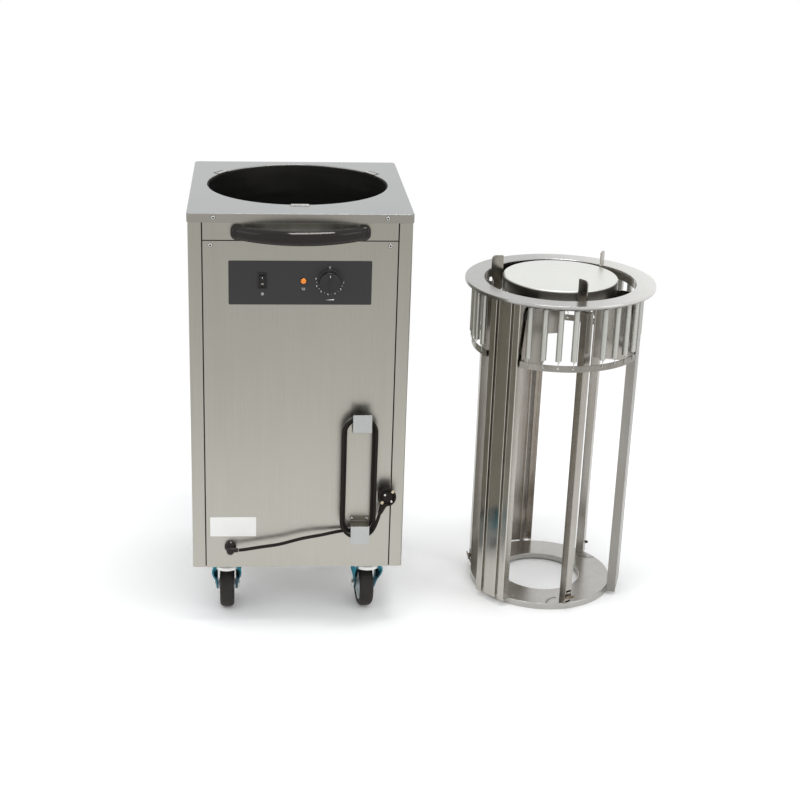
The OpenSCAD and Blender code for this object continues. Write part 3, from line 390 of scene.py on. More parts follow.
# painted shade by height is (height, tint) twice; painted shade along an axis is the axis, then the same
def steel(name, colour, streak=(700, 700, 5), spread=0.07, rough=(0.24, 0.38), cloud=7, cloudDepth=0.06,
          bump=0.12, warm=(1, 1, 1), paintedShadeByHeight=None, paintedShadeAlong=None):
    material, tree, shader = freshMaterial(name)
    shader.inputs["Metallic"].default_value = 1
    fine = grain(tree, streak, 3, 0.7)
    broad = grain(tree, tuple(max(1.5, s / 9) for s in streak), 3, 0.55)
    soft = grain(tree, (cloud, cloud, cloud * 0.6), 3, 0.5)
    low = tuple(c * (1 - spread) for c in colour)
    high = tuple(min(1, c * (1 + spread)) for c in colour)
    base = blendColours(tree, fine, low, high)
    clouded = tuple((1 - cloudDepth) * w for w in warm)
    for factor, dark in ((broad, (1 - spread * 0.8,) * 3), (soft, clouded)):
        base = multiply(tree, base, blendColours(tree, factor, dark, (1, 1, 1)))
    # painted shade: the base colour is darkened by position, by height and along an axis
    for change in ([("Z",) + tuple(paintedShadeByHeight)] if paintedShadeByHeight else []) + ([paintedShadeAlong] if paintedShadeAlong else []):
        axis, (start, startTint), (end, endTint) = change
        coords, split = grow(tree, "ShaderNodeTexCoord"), grow(tree, "ShaderNodeSeparateXYZ")
        tree.links.new(coords.outputs["Object"], split.inputs[0])
        along = between(tree, split.outputs[axis], 0, 1, start, end)
        base = multiply(tree, base, blendColours(tree, along, startTint, endTint, 0, 1))
    tree.links.new(base, shader.inputs["Base Color"])
    tree.links.new(between(tree, broad, *rough), shader.inputs["Roughness"])
    roughen(tree, shader, [(fine, bump)])
    return material


def plastic(name, colour, rough, speck=900, bump=0.08, worn=0.05, shine=0.5, tint=(1, 1, 1)):
    material, tree, shader = freshMaterial(name)
    shader.inputs["Specular IOR Level"].default_value = shine
    shader.inputs["Specular Tint"].default_value = (*tint, 1)
    fine = grain(tree, (speck, speck, speck), 2, 0.6)
    soft = grain(tree, (30, 30, 30), 3, 0.6)
    base = blendColours(tree, soft, colour, tuple(min(1, c * (1 + worn) + worn * 0.02) for c in colour))
    tree.links.new(base, shader.inputs["Base Color"])
    tree.links.new(between(tree, soft, *rough), shader.inputs["Roughness"])
    roughen(tree, shader, [(fine, bump)], 0.0001)
    return material


panelPaintedShade = ((0.15, (1, 1, 1)), (0.86, (0.76, 0.765, 0.74)))  # painted shade: the panels' tone is painted darker towards the top
panelLook = {"colour": (0.445, 0.43, 0.385), "spread": 0.035, "rough": (0.28, 0.36), "bump": 0.04,
             "paintedShadeByHeight": panelPaintedShade}
pressed = {"streak": (520, 520, 3), "bump": 0.05}  # the insert's sheets, brushed along their length
finishes = {
    "cabinet": steel("cabinetSteel", cloudDepth=0.03, **panelLook),
    # painted shade: the top plate is painted darker and warmer below its flat top, on the rounded edge and
    # skirt
    "top": steel("topSteel", (0.38, 0.39, 0.392), streak=(5, 420, 420), spread=0.004, rough=(0.26, 0.265),
                 cloudDepth=0.03, bump=0.0,
                 paintedShadeByHeight=((0.9045, (0.78, 0.72, 0.64)), (0.9068, (1, 1, 1)))),
    "side": steel("sideSteel", cloudDepth=0.04, **panelLook),
    # painted shade: the well liner is painted near-black for the shade inside the well
    "liner": steel("linerSteel", (0.05, 0.048, 0.046), streak=(40, 40, 400), rough=(0.4, 0.55),
                   cloudDepth=0.3),
    "insert": steel("insertSteel", (0.43, 0.41, 0.38), spread=0.08, rough=(0.16, 0.28), cloud=9,
                    cloudDepth=0.18, warm=(1.0, 0.97, 0.92), **pressed),
    # painted light and shade: the uprights are copies of one steel, the left and rear painted lighter and
    # the right painted darker
    "uprightLeft": steel("uprightLeftSteel", (0.54, 0.52, 0.48), spread=0.07, rough=(0.14, 0.24), cloud=8,
                         cloudDepth=0.16, warm=(1.0, 0.97, 0.93), **pressed),
    "uprightRear": steel("uprightRearSteel", (0.60, 0.57, 0.53), spread=0.08, rough=(0.14, 0.24), cloud=10,
                         cloudDepth=0.22, warm=(1.0, 0.96, 0.91), **pressed),
    "uprightRight": steel("uprightRightSteel", (0.285, 0.277, 0.257), spread=0.07, rough=(0.2, 0.3),
                          cloud=8, cloudDepth=0.12, warm=(1.0, 0.98, 0.95), **pressed),
    "wing": steel("wingSteel", (0.25, 0.215, 0.17), streak=(150, 150, 150), spread=0.15, rough=(0.12, 0.22),
                  cloud=110, cloudDepth=0.5, bump=0.05,
                  warm=(1.0, 0.86, 0.72)),
    # painted shade: below its top face the ring is painted darker, and it is painted darker towards its
    # left side
    "ring": steel("ringSteel", (0.80, 0.795, 0.765), streak=(60, 60, 60), spread=0.03, rough=(0.18, 0.28),
                  cloudDepth=0.06, bump=0.03,
                  paintedShadeByHeight=((0.7085, (0.40, 0.385, 0.36)), (0.7125, (1, 1, 1))),
                  paintedShadeAlong=("X", (0.26, (0.58, 0.58, 0.585)), (0.49, (1, 1, 1)))),
    "base": steel("baseSteel", (0.49, 0.48, 0.455), streak=(60, 60, 60), spread=0.04, rough=(0.18, 0.28),
                  cloudDepth=0.1, bump=0.04),
    # painted shade: the spring bands and tabs get a darker copy of the insert steel
    "band": steel("bandSteel", (0.33, 0.315, 0.285), streak=(200, 200, 200), spread=0.08, rough=(0.2, 0.3),
                  cloud=40, cloudDepth=0.2, bump=0.05),
    "brass": steel("brassContact", (0.62, 0.53, 0.38), streak=(300, 300, 300), spread=0.05,
                   rough=(0.2, 0.32), cloudDepth=0.1, bump=0.04),
    # painted shade: the platform's rim, below its top face, is painted much darker
    "platform": steel("platformSteel", (0.80, 0.81, 0.77), streak=(90, 90, 90), spread=0.02,
                      rough=(0.3, 0.40), cloudDepth=0.03, bump=0.03,
                      paintedShadeByHeight=((0.7195, (0.27, 0.255, 0.235)), (0.7235, (1, 1, 1)))),
    # painted shade: the hooks' arms and flanges, behind the front flaps, are painted darker and browner
    "hook": steel("hookSteel", (0.44, 0.45, 0.445), streak=(300, 300, 300), spread=0.03, rough=(0.3, 0.4),
                  cloudDepth=0.03, bump=0.03,
                  paintedShadeAlong=("Y", (-0.2445, (1, 1, 1)), (-0.2425, (0.62, 0.57, 0.50)))),
    "bright": steel("brightSteel", (0.66, 0.66, 0.64), streak=(300, 300, 300), spread=0.03,
                    rough=(0.18, 0.3), cloudDepth=0.05, bump=0.05),
    "spring": steel("springSteel", (0.58, 0.58, 0.545), streak=(60, 60, 60), spread=0.02,
                    rough=(0.34, 0.42), cloudDepth=0.08, bump=0.0),
    "zinc": steel("zincSteel", (0.74, 0.74, 0.72), streak=(90, 90, 90), spread=0.05, rough=(0.28, 0.38),
                  cloudDepth=0.08, bump=0.05),
    "heater": steel("heaterSteel", (0.10, 0.085, 0.08), streak=(80, 80, 80), spread=0.2, rough=(0.5, 0.65),
                    cloudDepth=0.25),
    "fork": steel("forkZinc", (0.045, 0.27, 0.36), streak=(120, 120, 120), spread=0.08, rough=(0.14, 0.24),
                  cloud=25, cloudDepth=0.35, bump=0.06, warm=(0.9, 0.8, 0.8)),
    "glossBlack": plastic("glossBlack", (0.0045, 0.0038, 0.0034), (0.05, 0.08), 300, 0.008, shine=0.36,
                          tint=(1, 0.94, 0.9)),
    "satinBlack": plastic("satinBlack", (0.014, 0.013, 0.013), (0.34, 0.46), shine=0.3),
    "controlFace": plastic("controlFace", (0.021, 0.0205, 0.022), (0.36, 0.46), 1400, 0.05, shine=0.4),
    "dialGrey": plastic("dialGrey", (0.017, 0.017, 0.0165), (0.30, 0.42), shine=0.35),
    "amber": plastic("amberLens", (0.90, 0.26, 0.02), (0.15, 0.25), 600, 0.05),
    "mark": plastic("whiteMark", (0.86, 0.86, 0.84), (0.4, 0.5)),
    "label": plastic("labelFilm", (0.84, 0.84, 0.81), (0.4, 0.5), 500, 0.03),
    "cord": plastic("cordRubber", (0.021, 0.0185, 0.0165), (0.5, 0.62), 700, 0.08, shine=0.05,
                    tint=(1, 0.93, 0.88)),
    "tyre": plastic("tyreRubber", (0.019, 0.017, 0.0155), (0.5, 0.62), 500, 0.2, 0.3, shine=0.25,
                    tint=(1, 0.95, 0.9)),
    "hub": plastic("hubNylon", (0.52, 0.56, 0.57), (0.35, 0.5), 700, 0.08),
}
print("finishes made:", len(finishes))

# mains cord: one lead from the gland, two turns round the hooks, to the plug

cordSettings = {"diameter": 7, "turnCentre": 126.3, "low": 252, "high": 450, "radius": 27, "grow": 5,
                "y": -10, "pitch": 8, "turns": 2, "plug": (185, -20, 307), "lean": 20, "neck": 40}
leadPoints = [(-125, -19, 184), (-112, -20, 186), (-100, -20, 188), (-76, -20, 192), (-49, -20, 196),
              (-30, -19.5, 200), (-12, -19, 205), (8, -18, 210), (30, -17, 214), (52, -14.5, 217),
              (72, -11, 220), (88, -8.5, 222), (102, -7.5, 224), (115, -8.5, 225)]
tailPoints = [(142, -25.5, 219), (153, -24, 226), (161, -22, 238), (166.5, -20.5, 253)]


def turnPoint(step, s):
    k = step % 24
    r = s["radius"] + s["grow"] * step / 24
    y = s["y"] - s["pitch"] * step / 24
    side = max(0, min(1, (k - 4) / 4, (20 - k) / 4))  # 0 on the low hook, 1 on the high one
    z = s["low"] + (s["high"] - s["low"]) * side
    a = min(22.5 * k - 90, 0) + min(max(22.5 * (k - 8), 0), 180) + max(22.5 * (k - 20), 0)
    a = math.radians(a)
    return (s["turnCentre"] + r * math.cos(a), y, z + r * math.sin(a))


def makeCord(s):
    lean = math.radians(s["lean"])
    neckEnd = (s["plug"][0] - s["neck"] * math.sin(lean), s["plug"][1],
               s["plug"][2] - s["neck"] * math.cos(lean))
    points = leadPoints + [turnPoint(k, s) for k in range(24 * s["turns"] + 1)] + tailPoints + [neckEnd]
    path = [cabinetPlace @ p for p in smoothPath(points, 5)]
    curve = bpy.data.curves.new("mainsCord", "CURVE")
    curve.dimensions = "3D"
    curve.bevel_depth = s["diameter"] / 2000
    curve.bevel_resolution = 4
    curve.use_fill_caps = True
    spline = curve.splines.new("POLY")
    spline.points.add(len(path) - 1)
    for point, p in zip(spline.points, path):
        point.co = (*p, 1)
    spline.use_smooth = True
    obj = bpy.data.objects.new("mainsCord", curve)
    scene.collection.objects.link(obj)
    curve.materials.append(finishes["cord"])
    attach(obj, "cabinet")
    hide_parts("cord_lead", "cord_wrap")
    return obj, sum((b - a).length for a, b in zip(path, path[1:])), tuple(path[0])


mainsCord, cordLength, cordExit = makeCord(cordSettings)


def makePlug(s):
    x, y, z = s["plug"]
    bm = bmesh.new()
    face = moved(x, y, z) @ spun(-18, "X") @ frontTurn
    body = fillet([(0, -14, 0), (12, -14), (15.5, -11), (19, -7), (19, 10), (17.5, 14), (15, 14, 0.5),
                   (15, 10, 1), (0, 10, 0)], 1.5)
    addLathe(bm, body, 48, place=face)
    addLathe(bm, fillet([(0, 10, 0), (10.5, 10), (10.5, 14.5), (0, 14.5, 0)], 1), 32, place=face)
    lean = math.radians(s["lean"])
    down = Vector((-math.sin(lean), 0, -math.cos(lean)))
    start = Vector((x, y, z))
    reach = [8, 16, 20, 24, 27, 30, 33, 36, 39, 40]
    radii = [11, 9.5, 8.2, 6.6, 6.9, 5.7, 6.1, 4.9, 5.2, 4.2]
    addTube(bm, [start + down * t for t in reach], radii, 20)
    plug = put(bm, "plugBody", "cabinet", "cord", "cord_rubber", ["cord_plug"], angle=40)
    bm = bmesh.new()
    for sx in (-1, 1):
        pin = face @ spun(135) @ moved(sx * 9.5, 0, 0)
        addLathe(bm, fillet([(0, 13, 0), (2.4, 13, 0), (2.4, 33), (0, 33, 0)], 1), 20, place=pin)
    pins = put(bm, "plugPins", "cabinet", "bright", "bright_steel", angle=40)
    bm = bmesh.new()
    for sx in (-1, 1):  # earth contacts in the two side notches, bent over the edge of the face
        clip = face @ spun(45)
        addBox(bm, (1.6, 5.6, 20), (sx * 18.2, 0, 5), clip)
        addBox(bm, (6, 5.6, 1.4), (sx * 15.6, 0, 14.6), clip)
    clips = put(bm, "plugContacts", "cabinet", "brass", "bright_steel", bevel=0.4, angle=40)
    return [plug, pins, clips]


plugPieces = makePlug(cordSettings)
print("cord length", round(cordLength, 3))

# Geometry Nodes


def startTree(name, inputs):
    tree = bpy.data.node_groups.new(name, "GeometryNodeTree")
    tree.interface.new_socket("Geometry", in_out="INPUT", socket_type="NodeSocketGeometry")
    for label, kind, value in inputs:
        socket = tree.interface.new_socket(label, in_out="INPUT", socket_type=kind)
        if value is not None:
            socket.default_value = value
    tree.interface.new_socket("Geometry", in_out="OUTPUT", socket_type="NodeSocketGeometry")
    return tree, grow(tree, "NodeGroupInput"), grow(tree, "NodeGroupOutput")


def joinTree(tree, pairs):
    for a, b in pairs:
        tree.links.new(a, b)


def maths(tree, operation, a, b):
    node = grow(tree, "ShaderNodeMath", operation=operation)
    for socket, value in zip(node.inputs, (a, b)):
        if isinstance(value, (int, float)):
            socket.default_value = value
        else:
            tree.links.new(value, socket)
    return node.outputs[0]


def closeTree(tree, geometry, given, end):  # every tree ends in Realize Instances and Set Material
    real, merge, paint = (grow(tree, k) for k in (
        "GeometryNodeRealizeInstances", "GeometryNodeMergeByDistance", "GeometryNodeSetMaterial"))
    joinTree(tree, [(geometry, real.inputs[0]), (real.outputs[0], merge.inputs["Geometry"]),
                    (given.outputs["Merge distance"], merge.inputs["Distance"]),
                    (merge.outputs[0], paint.inputs["Geometry"]),
                    (given.outputs["Finish"], paint.inputs["Material"]), (paint.outputs[0], end.inputs[0])])


# copies of one cell turned round the Z axis, with a wider gap in the middle of the row
def makeRoundTree():
    tree, given, end = startTree("copiesRound", [
        ("Cell", "NodeSocketObject", None), ("Count", "NodeSocketInt", 8),
        ("First angle", "NodeSocketFloat", 0.0),
        ("Step angle", "NodeSocketFloat", 0.1), ("Middle gap", "NodeSocketFloat", 0.0),
        ("Merge distance", "NodeSocketFloat", 0.001), ("Finish", "NodeSocketMaterial", None)])
    row, place, cell, index, swing = (grow(tree, k) for k in (
        "GeometryNodeMeshLine", "GeometryNodeInstanceOnPoints", "GeometryNodeObjectInfo",
        "GeometryNodeInputIndex", "ShaderNodeCombineXYZ"))
    row.inputs["Offset"].default_value = (0, 0, 0)
    late = maths(tree, "GREATER_THAN", index.outputs[0],
                 maths(tree, "SUBTRACT", maths(tree, "MULTIPLY", given.outputs["Count"], 0.5), 0.6))
    angle = maths(tree, "ADD", given.outputs["First angle"],
                  maths(tree, "MULTIPLY", index.outputs[0], given.outputs["Step angle"]))
    angle = maths(tree, "ADD", angle, maths(tree, "MULTIPLY", late, given.outputs["Middle gap"]))
    joinTree(tree, [(given.outputs["Count"], row.inputs["Count"]),
                    (given.outputs["Cell"], cell.inputs["Object"]),
                    (row.outputs[0], place.inputs["Points"]),
                    (cell.outputs["Geometry"], place.inputs["Instance"]),
                    (angle, swing.inputs["Z"]), (swing.outputs[0], place.inputs["Rotation"])])
    closeTree(tree, place.outputs[0], given, end)
    return tree


def makeScatterTree():  # a cell on each point of the object's own mesh
    tree, given, end = startTree("cellsOnPoints", [
        ("Cell", "NodeSocketObject", None), ("Turn", "NodeSocketVector", (0, 0, 0)),
        ("Merge distance", "NodeSocketFloat", 0.001), ("Finish", "NodeSocketMaterial", None)])
    place, cell = grow(tree, "GeometryNodeInstanceOnPoints"), grow(tree, "GeometryNodeObjectInfo")
    joinTree(tree, [(given.outputs["Geometry"], place.inputs["Points"]),
                    (given.outputs["Cell"], cell.inputs["Object"]),
                    (cell.outputs["Geometry"], place.inputs["Instance"]),
                    (given.outputs["Turn"], place.inputs["Rotation"])])
    closeTree(tree, place.outputs[0], given, end)
    return tree


def makeCoilTree():  # a close-wound spring body standing on the XY plane
    tree, given, end = startTree("springCoil", [
        ("Coil radius", "NodeSocketFloat", 5.6), ("Wire radius", "NodeSocketFloat", 0.75),
        ("Turns", "NodeSocketFloat", 60.0),
        ("Height", "NodeSocketFloat", 100.0), ("Steps per turn", "NodeSocketInt", 12),
        ("Wire sides", "NodeSocketInt", 6),
        ("Merge distance", "NodeSocketFloat", 0.001), ("Finish", "NodeSocketMaterial", None)])
    spiral, section, skin = (grow(tree, k) for k in (
        "GeometryNodeCurveSpiral", "GeometryNodeCurvePrimitiveCircle", "GeometryNodeCurveToMesh"))
    skin.inputs["Fill Caps"].default_value = True
    joinTree(tree, [(given.outputs["Steps per turn"], spiral.inputs["Resolution"]),
                    (given.outputs["Turns"], spiral.inputs["Rotations"]),
                    (given.outputs["Coil radius"], spiral.inputs["Start Radius"]),
                    (given.outputs["Coil radius"], spiral.inputs["End Radius"]),
                    (given.outputs["Height"], spiral.inputs["Height"]),
                    (given.outputs["Wire sides"], section.inputs["Resolution"]),
                    (given.outputs["Wire radius"], section.inputs["Radius"]),
                    (spiral.outputs[0], skin.inputs["Curve"]),
                    (section.outputs[0], skin.inputs["Profile Curve"])])
    closeTree(tree, skin.outputs[0], given, end)
    return tree


roundTree, scatterTree, coilTree = makeRoundTree(), makeScatterTree(), makeCoilTree()


# runs a tree on a few points and returns the plain result
def grownBy(tree, name, values, points=((0, 0, 0),)):
    mesh = bpy.data.meshes.new(name)
    mesh.from_pydata([tuple(p) for p in points], [], [])
    obj = bpy.data.objects.new(name, mesh)
    scene.collection.objects.link(obj)
    modifier = obj.modifiers.new("nodes", "NODES")
    modifier.node_group = tree
    sockets = {item.name: item.identifier for item in tree.interface.items_tree if item.in_out == "INPUT"}
    for label, value in values.items():
        modifier[sockets[label]] = value
    return baked(obj, name)


# copies of a cell turned round the Z axis, its angles in degrees
def roundRow(name, cell, count, step, finish, first=0, gap=0, merge=0.001):
    return grownBy(roundTree, name, {
        "Cell": cell, "Count": count, "First angle": math.radians(first), "Step angle": math.radians(step),
        "Middle gap": math.radians(gap), "Merge distance": merge, "Finish": finishes[finish]})


def drop(*objs):
    for obj in objs:
        bpy.data.objects.remove(obj)


# cells that repeat


# pan head with a cross recess, its seat at z = 0
def screwCell(name, headRadius=3.6, headHeight=2, length=4):
    bm = bmesh.new()
    slot, deep = headRadius * 0.24, headHeight * 0.45
    dome = [(headRadius, 0), (headRadius * 0.99, headHeight * 0.4), (headRadius * 0.86, headHeight * 0.75),
            (headRadius * 0.62, headHeight * 0.95)]
    addLathe(bm, [(0, -length), (headRadius * 0.5, -length), (headRadius * 0.5, 0)] + dome, 24, shut=False)
    reach = headRadius * 0.54
    arm, cross = [(slot, -reach), (slot, -slot), (reach, -slot)], []
    for _ in range(4):
        cross += arm
        arm = [(-y, x) for x, y in arm]
    rim, level = dome[-1]
    top = [v for v in bm.verts if abs(v.co.z - level) < 1e-6 and abs(v.co.xy.length - rim) < 1e-6]
    top.sort(key=lambda v: math.atan2(v.co.y, v.co.x))
    edges = [bm.edges.get((top[i - 1], top[i])) for i in range(len(top))]
    rings = addSkin(bm, [[(x, y, headHeight) for x, y in cross],
                         [(x * 0.8, y * 0.8, headHeight - deep) for x, y in cross]], capEnd=True)
    edges += [bm.edges.get((rings[0][i - 1], rings[0][i])) for i in range(len(cross))]
    bmesh.ops.triangle_fill(bm, use_beauty=True, edges=edges)
    obj = plainObject(bm, name)
    smoothAll(obj.data)
    obj.data.set_sharp_from_angle(angle=math.radians(38))
    return obj


def screwRow(name, points, turn, replaced=(), **sizes):
    cell = screwCell("screwCell", **sizes)
    obj = grownBy(scatterTree, name, {"Cell": cell, "Turn": turn, "Finish": finishes["bright"]}, points)
    drop(cell)
    radius, height = sizes.get("headRadius", 3.6), sizes.get("headHeight", 2)
    bm = bmesh.new()  # painted shade in the recess and under the edge of the head
    slot, reach, level = radius * 0.22, radius * 0.5, height * 0.74
    for w, d in ((slot, reach), (reach, slot)):
        addPrism(bm, [(-w, -d), (w, -d), (w, d), (-w, d)], level - 0.3, level)
    addLathe(bm, [(radius * 0.9, -0.05), (radius * 1.14, -0.05), (radius * 1.14, 0.12),
                  (radius * 0.9, 0.12)], 24)
    cell = plainObject(bm, "grimeCell")
    dark = grownBy(scatterTree, name + "Recess", {"Cell": cell, "Turn": turn, "Finish": finishes["cord"]},
                   points)
    drop(cell)
    settle(dark, "cabinet", finishes["cord"], "black_plastic", smooth=False)
    settle(obj, "cabinet", finishes["bright"], "bright_steel", replaced, smooth=False)


frontWay, backWay = (math.radians(90), 0, 0), (math.radians(-90), 0, 0)

# cabinet body

bodySettings = {"width": 450, "depth": 485, "height": 907, "skirt": 18.5, "sheet": 1.5, "inset": 1.9,
                "corner": 9,
                "bend": 7.1, "floor": 134, "groove": 195, "seam": 2.2, "seamZ": 852, "well": 191,
                "wellBack": 266.5,
                "hooks": (-90, 33, 147), "rivets": (-85, 29, 151), "openingZ": 770,
                "openings": ((-75.5, 15.2, 29.8), (6.5, 11, 11), (59, 6.4, 6.4))}  # X, width, height


def makeTopPlate(s):
    bm = bmesh.new()
    w, d, h, r, t = s["width"], s["depth"], s["height"], s["corner"], s["sheet"]

    def edge(inward, z):
        return [(x, y, z) for x, y in roundRect(w - 2 * inward, d - 2 * inward, r - inward, 8, 0, d / 2)]

    skirt = h - s["skirt"]
    outer = addSkin(bm, [edge(t, h - 4), edge(t, skirt + 0.2), edge(t - 0.3, skirt), edge(0.3, skirt),
                         edge(0, skirt + 0.3), edge(0, h - 2.2), edge(0.35, h - 1.0), edge(1.1, h - 0.3),
                         edge(2.2, h), edge(3.6, h)])[-1]
    well = [[(x, y + s["wellBack"], z) for x, y in ringPoints(radius, 128)] for radius, z in (
        (s["well"] + 3.4, h), (s["well"] + 2.2, h), (s["well"] + 1.0, h - 0.35),
        (s["well"] + 0.25, h - 1.2), (s["well"], h - 2.5),
        (s["well"], h - 11.7), (s["well"] + 0.4, h - 12), (s["well"] + t, h - 12), (s["well"] + t, h - 4))]
    inner = addSkin(bm, well)[0]
    cuts = []
    for angle in s["hooks"]:
        slot = [(x + 200.5, y) for x, y in roundRect(8, 38, 1.8, 4)]
        cuts.append([(x, y + s["wellBack"]) for x, y in turned(slot, angle)])
    for angle in s["rivets"]:
        cuts.append([(x, y + s["wellBack"]) for x, y in turned(ringPoints(2, 16, 208, 0), angle)])
    rims = [addSkin(bm, [[(x, y, h) for x, y in cut], [(x, y, h - t) for x, y in cut]])[0] for cut in cuts]
    edges = []
    for ring in [outer, inner] + rims:
        edges += [bm.edges.get((ring[i - 1], ring[i])) for i in range(len(ring))]
    bmesh.ops.triangle_fill(bm, use_beauty=True, edges=edges)
    addPlate(bm, [(x, y) for x, y in roundRect(w - 2 * t, d - 2 * t, r - t, 8, 0, d / 2)],
             [ringPoints(s["well"] + 0.6, 96, 0, s["wellBack"])] + cuts, h - 2.1, h - 2.0)
    put(bm, "topPlate", "cabinet", "top", "cabinet_steel", ["top_plate"], angle=50)
    bm = bmesh.new()
    for angle in s["rivets"]:
        turn = moved(0, s["wellBack"], h - 0.9) @ spun(angle)
        addLathe(bm, [(0, 0.9), (1.2, 0.75), (1.9, 0.1), (1.9, -1.5), (0, -1.5)], 16,
                 place=turn @ moved(208, 0, 0))
    put(bm, "wellRivets", "cabinet", "zinc", "bright_steel")


def sideOutline(s):
    side, t, front, back = s["width"] / 2 - s["inset"], s["sheet"], s["inset"], s["depth"] - s["inset"]
    start = s["groove"] + s["seam"] / 2
    bend, fold = s["bend"], side - s["bend"] - 26
    return fillet([(start, front, 0.8), (side, front, bend), (side, back, bend), (fold, back, 0.4),
                   (fold, back - t, 0.4), (side - t, back - t, bend - t), (side - t, front + t, bend - t),
                   (start + t, front + t, 0.6), (start + t, front + 14, 0.3), (start, front + 14, 0.3)], 1,
                  6)


def makePanels(s):
    top, floor = s["height"] - s["sheet"], s["floor"]
    for name, node, sign in (("sidePanelLeft", "side_panel_left", -1),
                             ("sidePanelRight", "side_panel_right", 1)):
        bm = bmesh.new()
        outline = [(sign * x, y) for x, y in sideOutline(s)]
        addPrism(bm, outline, floor, top)
        put(bm, name, "cabinet", "side", "cabinet_steel", [node], angle=25)
    half = s["groove"] - s["seam"] / 2
    front, t = s["inset"], s["sheet"]
    tray = fillet([(-half, front + 14, 0.3), (-half, front, 0.8), (half, front, 0.8),
                   (half, front + 14, 0.3), (half - t, front + 14, 0.3), (half - t, front + t, 0.5),
                   (-half + t, front + t, 0.5), (-half + t, front + 14, 0.3)], 1, 5)
    for name, node, low, high in (("servicePanel", "service_panel", floor, s["seamZ"] - s["seam"] / 2),
                                  ("fasciaStrip", "fascia_strip", s["seamZ"] + s["seam"] / 2, top)):
        bm = bmesh.new()
        addPrism(bm, tray, low, high)
        if name == "fasciaStrip":
            addBox(bm, (2 * half - 8, t, 23), (0, front + 1.5 * t, s["seamZ"] - 6.5))
        panel = plainObject(bm, name)
        if name == "servicePanel":
            bm = bmesh.new()
            for x, wide, tall in s["openings"]:
                addBox(bm, (wide, 8, tall), (x, front, s["openingZ"]))
            cutter = plainObject(bm, "panelCutter")
            cut = panel.modifiers.new("openings", "BOOLEAN")
            cut.operation, cut.solver, cut.object = "DIFFERENCE", "EXACT", cutter
            panel = baked(panel, name)
            bpy.data.objects.remove(cutter)
        settle(panel, "cabinet", finishes["cabinet"], "cabinet_steel", [node], angle=25)
    bm = bmesh.new()
    width, back = s["width"] - 2 * s["inset"] - 2 * s["bend"] - 6, s["depth"] - s["inset"]
    addBox(bm, (width, t, top - floor - 2 * t), (0, back - 1.5 * t, (top + floor) / 2))
    put(bm, "backPanel", "cabinet", "side", "cabinet_steel", ["back_panel"], bevel=0.3)
    bm = bmesh.new()
    low, high = front + 14, back - 2 * t
    inner = s["width"] - 2 * s["inset"] - 2 * t - 1
    slots = [roundRect(6, 90, 2.9, 4, x, s["depth"] / 2) for x in range(-60, 61, 24)]
    rounding = s["bend"] - 2
    addPlate(bm, roundRect(inner, high - low, rounding, 4, 0, (low + high) / 2), slots, floor, floor + t)
    addSkin(bm, [[(x, y, z) for x, y in roundRect(inner - 2 * i, high - low - 2 * i, rounding - i, 4, 0,
                                                  (low + high) / 2)]
                 for i, z in ((0, floor + t), (0, floor + 22), (t, floor + 22), (t, floor + t))])
    put(bm, "baseTray", "cabinet", "zinc", "cabinet_steel", ["base_tray"])
    bm = bmesh.new()  # black strips in the joints between the panels, painted shade for the gaps
    for sx in (-1, 1):
        addBox(bm, (s["seam"] - 0.1, 4, top - floor - 2),
               (sx * s["groove"], front + 4.6, (top + floor) / 2))
    addBox(bm, (2 * half - 3, 0.5, s["seam"] - 0.1), (0, front + t - 0.27, s["seamZ"]))
    put(bm, "seamSeals", "cabinet", "cord", "black_plastic", smooth=False)


def makeLiner(s):
    bm = bmesh.new()
    outer, top = s["well"] - 1, s["height"] - 3
    addLathe(bm, fillet([(60, 150, 0.3), (outer, 150, 4), (outer, top, 0.3), (outer - 1, top, 0.3),
                         (outer - 1, 151, 3), (60, 151, 0.3)], 1, 4), 96, place=moved(0, s["wellBack"], 0))
    put(bm, "wellLiner", "cabinet", "liner", "liner_steel", ["well_liner", "liner_floor"])
    bm = bmesh.new()
    h = s["height"]
    strap = fillet([(outer - 1, h - 3, 0.3), (outer, h - 3, 0.3), (outer, h + 0.2, 0.8),
                    (198, h + 0.2, 0.8), (198, h - 14, 0.2),
                    (199.2, h - 14, 0.2), (199.2, h + 1.4, 1.6), (outer - 1, h + 1.4, 1.6)], 1, 4)
    for angle in s["hooks"]:
        turn = moved(0, s["wellBack"], 0) @ spun(angle) @ frontTurn
        addPrism(bm, strap, -18, 18, turn)
    put(bm, "linerStraps", "cabinet", "base", "liner_steel", ["liner_straps"], angle=40)
    bm = bmesh.new()
    ringZ, radius, gap = 172, 120, math.asin(0.1)
    arc = [(radius * math.cos(a), radius * math.sin(a), ringZ) for a in
           (math.radians(-90) + gap + 0.1 + (2 * math.pi - 2 * gap - 0.2) * i / 96 for i in range(97))]
    down = [(12, -118, ringZ - 4), (12, -118, 150), (12, -118, 139)]
    up = [(-12, -118, 139), (-12, -118, 150), (-12, -118, ringZ - 4)]
    addTube(bm, up + list(reversed(arc)) + down, 4.1, 12, moved(0, s["wellBack"], 0))
    for a in (0, 90, 180):
        clip = moved(0, s["wellBack"], 0) @ spun(a)
        addBox(bm, (2, 14, 20), (120, 0, 161.2), clip)
    put(bm, "heatingRing", "cabinet", "heater", "heater_steel", ["heater_element"])


makeTopPlate(bodySettings)
makePanels(bodySettings)
makeLiner(bodySettings)
print("cabinet body made")

# handle and controls

handleSettings = {"reach": 60, "tall": 28, "deep": 19, "footX": 124, "z": 870.25}


